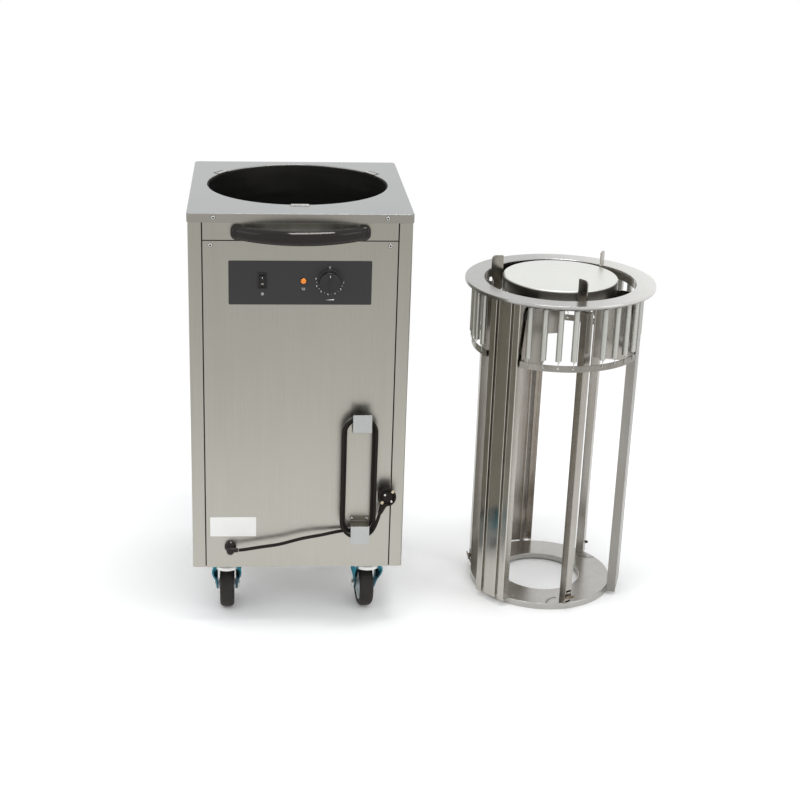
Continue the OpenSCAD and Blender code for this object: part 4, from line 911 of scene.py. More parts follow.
def makeHandle(s):
    bm = bmesh.new()
    mid, endY = -s["reach"] + s["deep"] / 2, -7
    sag = endY - mid
    radius = (s["footX"] ** 2 + sag ** 2) / (2 * sag)
    reach = math.asin(s["footX"] / radius)
    d, h = s["deep"] / 2, s["tall"] / 2
    section = fillet([(-d, 4 - h), (5 - d, -h), (d - 4.5, -h), (d, 6 - h), (d, h - 6.6, 7), (d - 7.9, h, 7),
                      (4 - d, h), (-d, h - 4)], 6)
    loops = []
    for i in range(49):
        a = -math.pi / 2 - reach + 2 * reach * i / 48
        swell = 1 + 0.05 * math.cos((i - 24) / 24 * math.pi / 2)
        centre = Vector((0, mid + radius, s["z"]))
        out = Vector((math.cos(a), math.sin(a), 0))
        loops.append([centre + out * (radius + u * swell) + Vector((0, 0, v * swell)) for u, v in section])
    addSkin(bm, loops, capStart=True, capEnd=True)
    for sx in (-1, 1):
        foot = []
        for share, y in ((1.0, 1.9), (1.0, 0.5), (0.995, -3), (0.97, -7), (0.9, -11), (0.76, -14),
                         (0.5, -16), (0.2, -17)):
            foot.append([(sx * s["footX"] + u * share, y, s["z"] + v * share)
                         for u, v in roundRect(30, 31, 12, 6)])
        addSkin(bm, foot, capStart=True, capEnd=True)
    obj = plainObject(bm, "frontHandle")
    remesh = obj.modifiers.new("melt", "REMESH")
    remesh.mode, remesh.voxel_size = "VOXEL", 1.1
    obj = baked(obj)
    melt = obj.modifiers.new("melt", "SMOOTH")
    melt.factor, melt.iterations = 0.6, 14
    obj = baked(obj, "frontHandle")
    settle(obj, "cabinet", finishes["glossBlack"], "gloss_black", ["handle"], angle=60)
    screwRow("handleScrews", [(sx * s["footX"], 3.4, s["z"]) for sx in (-1, 1)], backWay,
             replaced=["handle_screws"], headRadius=5, headHeight=3, length=11)


controlSettings = {"z": 770, "plateZ": 765.7, "width": 286, "height": 90.5, "face": 0.7, "switchX": -75.5,
                   "lampX": 6.5, "knobX": 59}


def makeControls(s):
    bm = bmesh.new()
    flat = facing(0, 1.9, s["plateZ"])
    up = s["z"] - s["plateZ"]
    openings = [roundRect(15.2, 29.8, 0.6, 3, s["switchX"], up), ringPoints(5.5, 32, s["lampX"], up),
                ringPoints(3.2, 24, s["knobX"], up)]
    addPlate(bm, roundRect(s["width"], s["height"], 2.5, 5), openings, 0, 1.2, flat)
    put(bm, "controlPlate", "cabinet", "controlFace", "control_face", ["control_plate"], bevel=0.4)

    # switch: bezel with a sunk frame, and a two-faced rocker with plain I and O marks
    bm = bmesh.new()
    at = facing(s["switchX"], s["face"], s["z"])
    addPlate(bm, roundRect(18.5, 33, 1.8, 4), [roundRect(13, 26.4, 0.8, 3)], 0, 2.5, at)
    addPlate(bm, roundRect(15, 29.6, 0.5, 2), [roundRect(13, 26.4, 0.5, 2)], -24, 0, at)
    addBox(bm, (15, 29.6, 1), (0, 0, -23.5), at)
    put(bm, "switchBezel", "cabinet", "satinBlack", "black_plastic", ["switch_housing"], bevel=0.5)
    bm = bmesh.new()
    half = 12.1
    side = fillet([(-5.6, -half, 0.8), (-3.4, -7, 6), (-0.6, 0, 4), (-0.9, 7, 6), (-1.6, half, 0.8),
                   (6, 7.5, 1), (7, 0, 1), (6, -7.5, 1)], 1, 5)
    addPrism(bm, side, -6.2, 6.2, moved(s["switchX"], s["face"], s["z"]) @ outwards)
    put(bm, "switchRocker", "rocker", "glossBlack", "gloss_black", ["power_rocker"], bevel=0.35, angle=50)
    bm = bmesh.new()
    upper = moved(s["switchX"], s["face"] - 0.75, s["z"] + 6.3) @ spun(-3, "X") @ frontTurn
    lower = moved(s["switchX"], s["face"] - 3.42, s["z"] - 6.6) @ spun(24, "X") @ frontTurn
    addPrism(bm, roundRect(0.9, 4.6, 0.4, 3), 0, 0.25, upper)
    addPlate(bm, ringPoints(2.3, 28), [ringPoints(1.5, 28)], 0, 0.25, lower)
    put(bm, "rockerMarks", "rocker", "mark", "label_white", angle=40)

    # pilot lamp
    bm = bmesh.new()
    at = facing(s["lampX"], s["face"], s["z"])
    addLathe(bm, fillet([(0, -16, 0), (5.4, -16, 0), (5.4, 0, 0), (5.6, 0.6), (5.6, 2.2), (4.4, 3.6),
                         (2.4, 4.2), (0, 4.4, 0)], 0.9), 40, place=at)
    put(bm, "pilotLens", "cabinet", "amber", "amber_lens", ["pilot_lamp"], angle=40)
    bm = bmesh.new()
    addLathe(bm, fillet([(5.7, 0, 0), (7, 0), (7, 1.0), (6.4, 1.6), (5.7, 1.6)], 0.3), 40, place=at)
    put(bm, "pilotCollar", "cabinet", "satinBlack", "black_plastic", angle=40)

    # thermostat: round dial skirt, flat-faced knob with a finger ridge
    bm = bmesh.new()
    at = facing(s["knobX"], s["face"] - 0.3, s["z"])
    addLathe(bm, fillet([(3.1, 0, 0), (24.5, 0, 0.4), (24.5, 2.2, 1.0), (22.6, 3.0, 0.6), (21.8, 3.4, 0.5),
                         (21.2, 17.6, 0.4), (20, 19, 0.8), (18.4, 18.6, 0.3), (0, 18.2, 0)], 0.4),
             80, shut=False, place=at)
    addPrism(bm, fillet([(-2, -18.2), (2, -18.2), (2, 18.2), (-2, 18.2)], 1.6), 17.8, 20.4, at)
    put(bm, "knobBody", "knob", "dialGrey", "black_plastic", ["thermostat_knob"], bevel=0.25, angle=45)
    bm = bmesh.new()
    addPrism(bm, roundRect(0.9, 5, 0.4, 3), 0, 0.16, at @ moved(0, 14.6, 20.35))
    put(bm, "knobPointer", "knob", "mark", "label_white")
    grip = bmesh.new()
    addLathe(grip, fillet([(0, 3.6, 0), (0.75, 3.6, 0), (0.62, 17.0, 0.2), (0, 17.6, 0)], 0.2, 2), 8,
             place=moved(21.5, 0, 0))
    cell = plainObject(grip, "gripCell")
    ribs = roundRow("knobGrip", cell, 48, 7.5, "dialGrey")
    drop(cell)
    settle(ribs, "knob", finishes["dialGrey"], "black_plastic", place=cabinetPlace @ at, angle=50)

    # scale round the knob: ticks by nodes, plain numbers, and small marks under each control
    tick = bmesh.new()
    addPrism(tick, [(25.6, -0.35), (27.6, -0.35), (27.6, 0.35), (25.6, 0.35)], 0, 0.12)
    cell = plainObject(tick, "tickCell")
    face = facing(s["knobX"], s["face"], s["z"])
    ticks = roundRow("dialTicks", cell, 6, 30, "mark", -173)
    drop(cell)
    settle(ticks, "cabinet", finishes["mark"], "label_white", place=cabinetPlace @ face, smooth=False)
    bm = bmesh.new()
    for i in range(7):
        angle = math.radians(-8 - 30 * i)
        addGlyph(bm, str(i + 1), 4, face @ moved(28 * math.cos(angle), 28 * math.sin(angle), 0))
    addGlyph(bm, "0", 4, face @ moved(0, 27.6, 0))
    under = facing(0, s["face"], 0)
    spot = facing(s["switchX"], s["face"], 742.5)
    addPlate(bm, ringPoints(2.5, 28), [ringPoints(1.9, 28)], 0, 0.12, spot)
    addPrism(bm, [(-0.3, 0.4), (0.3, 0.4), (0.3, 3.4), (-0.3, 3.4)], 0, 0.13, spot)
    for k in (-1, 0, 1):
        wave = [Vector((s["lampX"] + 2.4 * k + 0.55 * math.sin(t * 1.1), 753.2 + t - 2.6, 0))
                for t in (0, 0.9, 1.8, 2.7, 3.6, 4.5, 5.2)]
        for a, b in zip(wave, wave[1:]):
            addPrism(bm, [(a.x - 0.28, a.y), (a.x + 0.28, a.y), (b.x + 0.28, b.y), (b.x - 0.28, b.y)], 0,
                     0.12, under)
    spot = facing(s["knobX"], s["face"], 730.5)
    addPrism(bm, [(-9, -0.35), (9, 1.5), (9, -0.35)], 0, 0.12, spot)
    put(bm, "panelMarks", "cabinet", "mark", "label_white", smooth=False)


def addGlyph(bm, text, size, place):
    curve = bpy.data.curves.new("glyph", "FONT")
    curve.body, curve.size, curve.extrude, curve.offset = text, size * 1.35, 0.06, size * 0.022
    curve.align_x, curve.align_y = "CENTER", "CENTER"
    obj = bpy.data.objects.new("glyph", curve)
    scene.collection.objects.link(obj)
    obj = baked(obj)
    addMesh(bm, obj, place @ moved(0, 0, 0.06))
    drop(obj)


makeHandle(handleSettings)
makeControls(controlSettings)
print("handle and controls made")

# front fittings

fittingSettings = {"hookX": 129.5, "hookWidth": 39, "hookReach": 34, "hookFlap": 40, "hookFlange": 13,
                   "high": 456, "low": 241, "glandX": -143, "glandZ": 184}


def makeFittings(s):
    t = 1.5
    reach, flap, flange = s["hookReach"], s["hookFlap"], s["hookFlange"]
    section = fillet([(0, 0, 0.3), (0, flange, 0.3), (-t, flange, 0.3), (-t, t, 0.8), (-reach, t, 2.2),
                      (-reach, -flap + t, 0.3), (-reach + t, -flap + t, 0.3), (-reach + t, 0, 0.8),
                      (0, 0, 2.2)], 1, 5)[1:]
    for name, node, z, sign in (("cordHookLower", "cord_hook_lower", s["low"], 1),
                                ("cordHookUpper", "cord_hook_upper", s["high"], -1)):
        bm = bmesh.new()
        outline = [(y, sign * v) for y, v in section]
        addPrism(bm, outline, -s["hookWidth"] / 2, s["hookWidth"] / 2, moved(s["hookX"], 1.9, z) @ outwards)
        put(bm, name, "cabinet", "hook", "bright_steel", [node], bevel=0.25, angle=50)
    spots = [(s["hookX"] + sx * 15.5, 0.4, z) for z in (s["high"] - flange / 2, s["low"] + flange / 2)
             for sx in (-1, 1)]
    screwRow("hookScrews", spots, frontWay, replaced=["hook_screws"], headRadius=3.2, length=4)
    front = [(sx * 178.5, 1.9, 842.2) for sx in (-1, 1)]
    screwRow("panelScrews", front, frontWay, replaced=["panel_screws"], headRadius=4.1)
    rear = [(sx * 203, 483.1, z) for sx in (-1, 1) for z in (194, 493.5, 827)]
    screwRow("backScrews", rear, backWay)
    screwRow("skirtScrewsFront", [(sx * 172, 0, 898.5) for sx in (-1, 1)], frontWay,
             replaced=["skirt_screws"], headRadius=4.1)
    screwRow("skirtScrewsBack", [(sx * 172, 485, 898.5) for sx in (-1, 1)], backWay)

    bm = bmesh.new()
    addPrism(bm, roundRect(97, 44.5, 1.8, 4), 0, 0.3, facing(-137, 1.9, 228.7))
    put(bm, "blankLabel", "cabinet", "label", "label_white", ["rating_label"])

    # cable gland: nut, domed body, clamp screw boss and a ribbed sleeve for the cord
    bm = bmesh.new()
    at = facing(s["glandX"], 1.9, s["glandZ"])
    addLathe(bm, fillet([(0, -5, 0), (7.5, -5, 0), (7.5, 0, 0), (12.4, 0, 0.4), (12.6, 5.4, 2),
                         (10.4, 8.6, 2), (7, 10, 2), (6.4, 16, 1), (0, 17, 0)], 0.6), 48, place=at)
    ball = [(0, 8.4, 0)] + [(8.4 * math.cos(math.radians(a)), 19 + 8.4 * math.sin(math.radians(a)), 0)
                            for a in range(-75, 76, 15)] + [(0, 27.4, 0)]
    addLathe(bm, [q[:2] for q in ball], 32, place=at @ moved(0, -3.5, 0))
    sleeve = [(s["glandX"] + 2.4 * i, -19, s["glandZ"]) for i in range(8)]
    addTube(bm, sleeve, [5.8, 5.8, 5.6, 5.2, 5.3, 4.7, 4.8, 4.1], 24)
    put(bm, "cableGland", "cabinet", "glossBlack", "gloss_black", ["cable_gland"], angle=42)
    bm = bmesh.new()
    knobX, knobZ = controlSettings["knobX"], controlSettings["z"]
    addBox(bm, (44, 30, 50), (knobX, 18.4, knobZ))
    addLathe(bm, [(0, 0), (3, 0), (3, 16.5), (0, 16.5)], 24, place=facing(knobX, 4.4, knobZ))
    put(bm, "thermostatBody", "cabinet", "satinBlack", "black_plastic", ["thermostat_body"], bevel=0.8)


makeFittings(fittingSettings)
print("front fittings made")

# castors

castorSettings = {"x": 152.3, "frontY": 53, "backY": 432, "trail": 35, "turn": 6, "wheel": 50, "tyre": 31,
                  "hub": 36, "crownTop": 120.7, "forkIn": 19.5, "forkThick": 3}


def makeCastors(s):
    spots = {"fl": (-s["x"], s["frontY"], 0), "fr": (s["x"], s["frontY"], s["turn"]),
             "rl": (-s["x"], s["backY"], 180), "rr": (s["x"], s["backY"], 180)}
    plates = bmesh.new()
    for tag, (x, y, turn) in spots.items():
        stand = moved(x, y, 0)
        corner = stand @ moved(0, 0, 131.5)
        holes = [roundRect(13, 8.4, 4.1, 4, sx * 37, sy * 26) for sx in (-1, 1) for sy in (-1, 1)]
        addPlate(plates, roundRect(88, 68, 6, 5), holes, 0, 2.5, corner)
        addLathe(plates, fillet([(0, 131.4, 0), (29, 131.4, 1), (30, 128, 3), (27, 123, 2), (24, 121, 0.6),
                                 (0, 121, 0)], 1), 48, place=stand)
        addLathe(plates, fillet([(0, 127, 0), (4.9, 127, 0), (4.9, 117.6, 0), (8, 117.4, 0),
                                 (8.6, 117, 0.6), (8.6, 111.6, 1), (0, 111.4, 0)], 0.5), 24,
                                 place=stand)
        swivel = stand @ spun(turn)
        makeFork(s, tag, swivel)
        makeWheel(s, tag, swivel @ moved(0, s["trail"], s["wheel"]) @ spun(90, "Y"))
    put(plates, "castorPlates", "cabinet", "zinc", "zinc_steel", ["castor_plates"], angle=35)
    bolt = bmesh.new()
    addSkin(bolt, [[(x, y, z) for x, y in ringPoints(r, 6)]
                   for r, z in ((6.2, 0), (6.4, -0.4), (6.4, -3.4), (5.7, -4))], capStart=True, capEnd=True)
    cell = plainObject(bolt, "boltCell")
    points = [(x + sx * 37, y + sy * 26, 131.5) for x, y, _ in spots.values() for sx in (-1, 1)
              for sy in (-1, 1)]
    bolts = grownBy(scatterTree, "castorBolts", {"Cell": cell, "Finish": finishes["bright"]}, points)
    drop(cell)
    settle(bolts, "cabinet", finishes["bright"], "zinc_steel", angle=30)


def makeFork(s, tag, place):
    bm = bmesh.new()
    top, inner, t = s["crownTop"], s["forkIn"], s["forkThick"]
    addLathe(bm, fillet([(5.05, top, 0), (27, top, 2.5), (29, top - 2, 1), (29, top - 9, 1),
                         (27.4, top - 9, 0.4), (27.2, top - 3, 1), (5.05, top - 3, 0)], 1), 48, place=place)
    put(bm, "castorCrown_" + tag, "castor_" + tag, "zinc", "zinc_steel", angle=48)
    bm = bmesh.new()
    # each leg: a swept plate whose front and back edges turn outwards in a crescent
    rows = [(0, -22, 20, 6), (0.08, -21, 20.5, 9), (0.2, -17.5, 21, 9.6), (0.34, -11, 22.5, 8.2),
            (0.48, -3, 25, 5), (0.62, 5.5, 29, 2.6), (0.76, 13, 33.5, 1.6), (0.88, 20.5, 40, 1),
            (0.96, 24.5, 44, 0.7), (1.0, 28, 43, 0.5), (1.03, 33, 38, 0.3)]
    for sx in (-1, 1):
        loops = []
        for share, front, back, flare in rows:
            z = top - 3 - share * (top - 3 - (s["wheel"] - 9))
            mid = (front + back) / 2
            span = back - front
            lip = ((-0.3, 1), (0.8, 0.93), (min(4.5, span * 0.16), 0.34))
            flat = min(8, span * 0.27)
            line = ([(front + d, flare * f) for d, f in lip]
                    + [(front + flat, 0.2), (mid, 0), (back - flat, 0.2)]
                    + [(back - d, flare * f) for d, f in reversed(lip)])
            outer = [(sx * (inner + t + x), y, z) for y, x in line]
            thinned = [(y, x) if 1 < i < 7 else (y, x * 0.93 + 0.2) for i, (y, x) in enumerate(line)]
            inside = [(sx * (inner + x), y, z) for y, x in reversed(thinned)]
            loops.append(outer + inside)
        addSkin(bm, loops, capStart=True, capEnd=True, place=place)
    put(bm, "castorFork_" + tag, "castor_" + tag, "fork", "zinc_blue", ["castor_fork_" + tag], angle=48)
    bm = bmesh.new()
    axle = place @ moved(0, s["trail"], s["wheel"]) @ spun(90, "Y")
    end = inner + t
    pin = mirrored([(0, -end - 5, 0), (5.6, -end - 5), (5.9, -end - 4)])
    addLathe(bm, fillet(pin, 0.4), 24, place=axle)
    for side in (-1, 1):
        addPrism(bm, ringPoints(9, 6), *sorted((side * end, side * (end + 4.2))), axle)
        addLathe(bm, [(6, side * (end - 0.2)), (10.5, side * (end - 0.2)), (10.5, side * (end + 0.9)),
                      (6, side * (end + 0.9))], 28, place=axle)
    put(bm, "castorAxle_" + tag, "castor_" + tag, "bright", "zinc_steel", bevel=0.3, angle=35)


def makeWheel(s, tag, place):
    half, r, hub = s["tyre"] / 2, s["wheel"], s["hub"]
    bm = bmesh.new()
    tread = fillet(mirrored([(hub, -half + 2, 0.5), (hub + 3, -half + 0.4, 2), (r - 6, -half, 5),
                             (r, -half + 5, 8)]), 2, 6)
    addLathe(bm, tread, 72, place=place)
    put(bm, "castorTyre_" + tag, "wheel_" + tag, "tyre", "tyre_grey", ["castor_tyre_" + tag], angle=50)
    bm = bmesh.new()
    wide = s["forkIn"] - 0.3
    profile = mirrored([(6.05, -wide, 0), (11.5, -wide, 1), (13.5, -9, 2), (16, -6.5, 2),
                        (hub - 6, -5.5, 2), (hub - 3.4, -half + 3.4, 1.2), (hub - 0.05, -half + 2.2, 0.6)])
    addLathe(bm, fillet(profile, 1, 3), 64, place=place)
    rib = bmesh.new()
    for side in (-1, 1):
        addBox(rib, (18, 2.4, 5), (21.5, 0, side * 8))
    cell = plainObject(rib, "ribCell")
    ribs = roundRow("hubRibs", cell, 8, 45, "hub")
    addMesh(bm, ribs, place)
    drop(cell, ribs)
    put(bm, "castorHub_" + tag, "wheel_" + tag, "hub", "hub_plastic", ["castor_hub_" + tag], angle=40)


makeCastors(castorSettings)
print("castors made")

# insert: frame

insertSettings = {"ring": 716, "ringRadius": 204, "ringIn": 162, "collar": 20, "sheet": 1.5,
                  "baseRadius": 159.5, "baseIn": 89.5, "base": 15,
                  "groups": {"front": -79, "rear": 41, "left": 161},  # angles round the axis, in degrees
                  "uprights": {"left": -139, "right": -19, "rear": 101}, "uprightRadius": 178,
                  "uprightWidth": 79, "grooveDeep": 9, "grooveWidth": 8, "grooveMid": 20, "pivot": 151.5,
                  "tabRadius": 6, "tabLow": 692.5, "tabTop": 695, "pinLow": 682.5, "postTop": 41,
                  "footLow": 8.5}


def makeRings(s):
    h, r, i, t = s["ring"], s["ringRadius"], s["ringIn"], s["sheet"]
    bm = bmesh.new()
    profile = [(i, h - t - s["collar"], 0.4), (i + t, h - t - s["collar"], 0.4), (i + t, h - t, 1.2),
               (r - t, h - t, 1.2), (r - t, h - 7, 0.4), (r, h - 7, 0.4), (r, h, 2.4), (i, h, 2.4)]
    addLathe(bm, fillet(profile, 1, 5), 160)
    for angle in s["groups"].values():  # a tab with a pin on which each guide turns
        spot = spun(angle) @ moved(s["pivot"], 0, 0)
        wide = s["tabRadius"]
        arc = [math.radians(90 + 15 * k) for k in range(13)]
        tab = [(wide * math.cos(a), wide * math.sin(a)) for a in arc]
        addPrism(bm, tab + [(i + 0.7 - s["pivot"], -wide), (i + 0.7 - s["pivot"], wide)], s["tabLow"],
                 s["tabTop"], spot)
        addLathe(bm, fillet([(0, s["pinLow"], 0), (3, s["pinLow"]), (3, s["tabLow"] + 0.1, 0),
                             (0, s["tabLow"] + 0.1, 0)], 0.5), 20, place=spot)
    put(bm, "topRing", "insert", "ring", "insert_steel", ["top_ring"], insertPlace(), angle=40)
    bm = bmesh.new()
    h, r, i = s["base"], s["baseRadius"], s["baseIn"]
    profile = [(i, 3, 0.4), (i, h, 1.6), (r, h, 1.6), (r, 0, 0.4), (r - t, 0, 0.4), (r - t, h - t, 0.8),
               (i + t, h - t, 0.8), (i + t, 3, 0.4)]
    addLathe(bm, fillet(profile, 1, 4), 128)
    for angle in s["groups"].values():
        spot = spun(angle) @ moved(s["pivot"], 0, 0)
        addLathe(bm, fillet([(0, h - 0.5, 0), (5, h - 0.5, 0), (5, s["postTop"]), (0, s["postTop"], 0)],
                            0.9), 28, place=spot)
    put(bm, "baseRing", "insert", "base", "insert_steel", ["base_ring"], insertPlace(), angle=40)


def uprightOutline(s, start=159):  # open towards the axis, with two grooves down the outer face
    r, t, half = s["uprightRadius"], s["sheet"], s["uprightWidth"] / 2
    a, b = s["grooveMid"] - s["grooveWidth"] / 2, s["grooveMid"] + s["grooveWidth"] / 2
    deep = r - s["grooveDeep"]
    outer = [(r, 0, 0), (r, a, 1.2), (deep, a, 1.2), (deep, b, 1.2), (r, b, 1.2), (r, half, 2),
             (start, half, 0.3)]
    inner = [(start, half - t, 0.3), (r - t, half - t, 0.8), (r - t, b + t, 0.5), (deep - t, b + t, 2),
             (deep - t, a - t, 2), (r - t, a - t, 0.5), (r - t, 0, 0)]
    upper = outer + inner
    lower = [(x, -y, q) for x, y, q in reversed(upper)]
    return fillet(lower[1:-1] + upper[1:-1], 1, 4)


def makeUprights(s):
    outline, foot = uprightOutline(s), uprightOutline(s, 161)
    t = s["sheet"]
    for tag, angle in s["uprights"].items():
        bm = bmesh.new()
        addPrism(bm, outline, s["base"], s["ring"] - t)
        if tag != "left":
            addPrism(bm, foot, s["footLow"], s["base"])
        name = "upright" + tag.capitalize()
        put(bm, name, "insert", name, "insert_steel", ["upright_" + tag], insertPlace(angle), angle=28)


makeRings(insertSettings)
makeUprights(insertSettings)
print("insert frame made")

# insert: carriage and springs

carriageSettings = {"platformRadius": 122.5, "platformTop": 724, "rim": 28, "legIn": 88, "legOut": 170,
                    "legSide": 43.5, "legFoot": 562, "shoulder": 690.5, "bandRadius": 183, "bandZ": 574,
                    "bandHeight": 14, "bandThick": 2, "springRadius": 182, "coilRadius": 5.7, "wire": 0.8,
                    "springFoot": 589, "springTop": 703.5, "each": 8, "step": 10}


def makeCarriage(s, frameSettings):
    top, r = s["platformTop"], s["platformRadius"]
    bm = bmesh.new()
    addLathe(bm, fillet([(0, top - 1.5, 0), (r - 1.5, top - 1.5, 2), (r - 1.5, top - s["rim"], 0.4),
                         (r, top - s["rim"], 0.4), (r, top, 3.5), (0, top, 0)], 1, 6), 128)
    put(bm, "platePlatform", "carriage", "platform", "platform_steel", ["carriage_platform"], insertPlace(),
        angle=40)
    bm = bmesh.new()
    side, t = s["legSide"], 1.5
    for angle in frameSettings["uprights"].values():
        turn = spun(angle)
        wall = [(s["legIn"], s["legFoot"]), (s["legOut"], s["legFoot"]), (s["legOut"], s["legFoot"] + 40),
                (s["legOut"] - 12, s["shoulder"]), (r - 10, s["shoulder"]), (r - 16, top - 1.6),
                (s["legIn"], top - 1.6)]
        upright = turn @ across
        outline = fillet(wall, 2, 3)
        for sy in (-1, 1):
            addPrism(bm, outline, min(sy * side, sy * (side + t)), max(sy * side, sy * (side + t)), upright)
        addBox(bm, (t, 2 * side, top - 1.6 - s["legFoot"]),
               (s["legIn"] + t / 2, 0, (top - 1.6 + s["legFoot"]) / 2), turn)
    put(bm, "carriageLegs", "carriage", "insert", "insert_steel", ["carriage_legs"], insertPlace(),
        bevel=0.3)

    # bands: a short cell with its hole, bent to the arc and copied round; then the plain ends and ears
    outerR, thick, z, high = s["bandRadius"], s["bandThick"], s["bandZ"], s["bandHeight"]
    width = math.radians(s["step"]) * outerR
    bm = bmesh.new()
    addPlate(bm, mirrored([(width * k / 4, -high / 2) for k in (-2, -1, 0, 1, 2)]), [ringPoints(2, 16)],
             -thick, 0)
    dead = [f for f in bm.faces if all(abs(abs(v.co.x) - width / 2) < 1e-5 for v in f.verts)]
    bmesh.ops.delete(bm, geom=dead, context="FACES")
    for v in bm.verts:
        a, radius = v.co.x / outerR, outerR + v.co.z
        v.co = Vector((radius * math.cos(a), radius * math.sin(a), z + v.co.y))
    cell = plainObject(bm, "bandCell")
    bands = bmesh.new()
    plainR = [(outerR - thick, z - high / 2), (outerR, z - high / 2), (outerR, z + high / 2),
              (outerR - thick, z + high / 2)]
    for angle in frameSettings["groups"].values():
        row = roundRow("bandRow", cell, 9, s["step"], "insert", angle - 40, merge=0.01)
        addMesh(bands, row)
        drop(row)
        for sign in (-1, 1):
            addLathe(bands, plainR, 3, angle + sign * 45 - (0.5 if sign < 0 else 0), 0.5)
            turn = spun(angle)
            ear = [turned([(outerR, 0)], sign * 45.5)[0], turned([(outerR - thick, 0)], sign * 45)[0],
                   turned([(s["legOut"] - 9, -sign * (s["legSide"] + t))], sign * 60)[0],
                   turned([(s["legOut"] - 1, -sign * (s["legSide"] + t))], sign * 60)[0]]
            addPrism(bands, ear, z - high / 2, z + high / 2, turn)
    drop(cell)
    put(bands, "springBands", "carriage", "band", "insert_steel", ["carriage_bands"], insertPlace(),
        angle=35)

    bm = bmesh.new()
    inner, half = 159, frameSettings["uprightWidth"] / 2
    shoe = fillet([(inner - 12, side), (inner - 12, side - 15), (inner - 0.35, side - 15),
                   (inner - 0.35, half + 0.35), (inner + 4, half + 0.35), (inner + 4, side)], 0.8, 3)
    for angle in frameSettings["uprights"].values():
        for sign in (-1, 1):
            for height in (s["bandZ"], s["shoulder"] - 18):
                flip = spun(angle) @ Matrix.Scale(sign, 4, (0, 1, 0))
                addPrism(bm, shoe, height - 9, height + 9, flip)
    put(bm, "slideShoes", "carriage", "satinBlack", "black_plastic", ["carriage_sliders"], insertPlace(),
        bevel=0.4)


def makeSprings(s, frameSettings):
    coilHeight = s["springTop"] - s["springFoot"] - 4
    turns = round(coilHeight / 1.15)
    coil = grownBy(coilTree, "coil", {"Coil radius": s["coilRadius"], "Wire radius": s["wire"],
                                      "Turns": float(turns), "Height": coilHeight,
                                      "Steps per turn": 14, "Wire sides": 5, "Finish": finishes["spring"]})
    bm = bmesh.new()
    r0, wire = s["springRadius"], s["wire"]
    addMesh(bm, coil, moved(r0, 0, s["springFoot"] + 2))
    drop(coil)
    line = s["bandRadius"] + 0.4 + wire

    def hook(base, tip, sign):  # from the coil's edge inwards, then out over the plate and through its hole
        path = [(r0 + s["coilRadius"], 0, base), (r0 + 3.4, 2.2, base + sign * 1.6),
                (r0 + 0.6, 1.6, base + sign * 3.0), (line - 0.6, 0, base + sign * 4.6),
                (line, 0, base + sign * 6.5), (line, 0, tip - sign * 2.4),
                (line - 0.8, 0, tip - sign * 0.5), (line - 2.4, 0, tip), (line - 4.2, 0, tip - sign * 0.9),
                (line - 4.9, 0, tip - sign * 2.6)]
        addTube(bm, smoothPath(path, 4), wire, 6)

    hook(s["springTop"] - 2, 709.5, 1)
    hook(s["springFoot"] + 2, s["bandZ"] - 0.2, -1)
    one = plainObject(bm, "oneSpring")
    smoothAll(one.data)
    for tag, angle in frameSettings["groups"].items():
        row = roundRow("springs_" + tag, one, s["each"], s["step"], "spring", angle - 4 * s["step"],
                       s["step"], 0.0)
        row = settleLoose(row, finishes["spring"], insertPlace())
        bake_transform(row)
        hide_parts("springs_" + tag)
    drop(one)
    tab = bmesh.new()
    outline = fillet([(-4, 714, 0), (4, 714, 0), (4, 706.4), (-4, 706.4)], 2.5, 5)
    addPlate(tab, outline, [ringPoints(1.6, 14, 0, 709.5)], r0 - 0.75, r0 + 0.75, outwards)
    cell = plainObject(tab, "tabCell")
    tabs = bmesh.new()
    for angle in frameSettings["groups"].values():
        row = roundRow("tabRow", cell, s["each"], s["step"], "spring", angle - 4 * s["step"], s["step"])
        addMesh(tabs, row)
        drop(row)
    drop(cell)
    put(tabs, "springTabs", "insert", "band", "insert_steel", place=insertPlace(), angle=35)


# for a piece that blends between two bodies, so it rides on none
def settleLoose(obj, material, place):
    obj.data.transform(place)
    paint(obj.data, material)
    smoothAll(obj.data)
    return obj


makeCarriage(carriageSettings, insertSettings)
makeSprings(carriageSettings, insertSettings)
print("carriage and springs made")

# insert: plate guides and wing screws

guideSettings = {"turn": 22, "inner": -7, "outer": 12.5, "width": 18, "foot": 15.3, "shoulder": 688.5,
                 "cap": 3, "top": 754, "finger": 3, "fingerIn": -26.6, "clampZ": 32, "coverLow": 47.5,
                 "scaleX": 159.3, "scaleY": -13.9}


def guidePlace(angle, turn, pivot):  # origin at the guide's pivot, X pointing out of the insert
    return insertPlace(angle) @ moved(pivot, 0, 0) @ spun(turn)


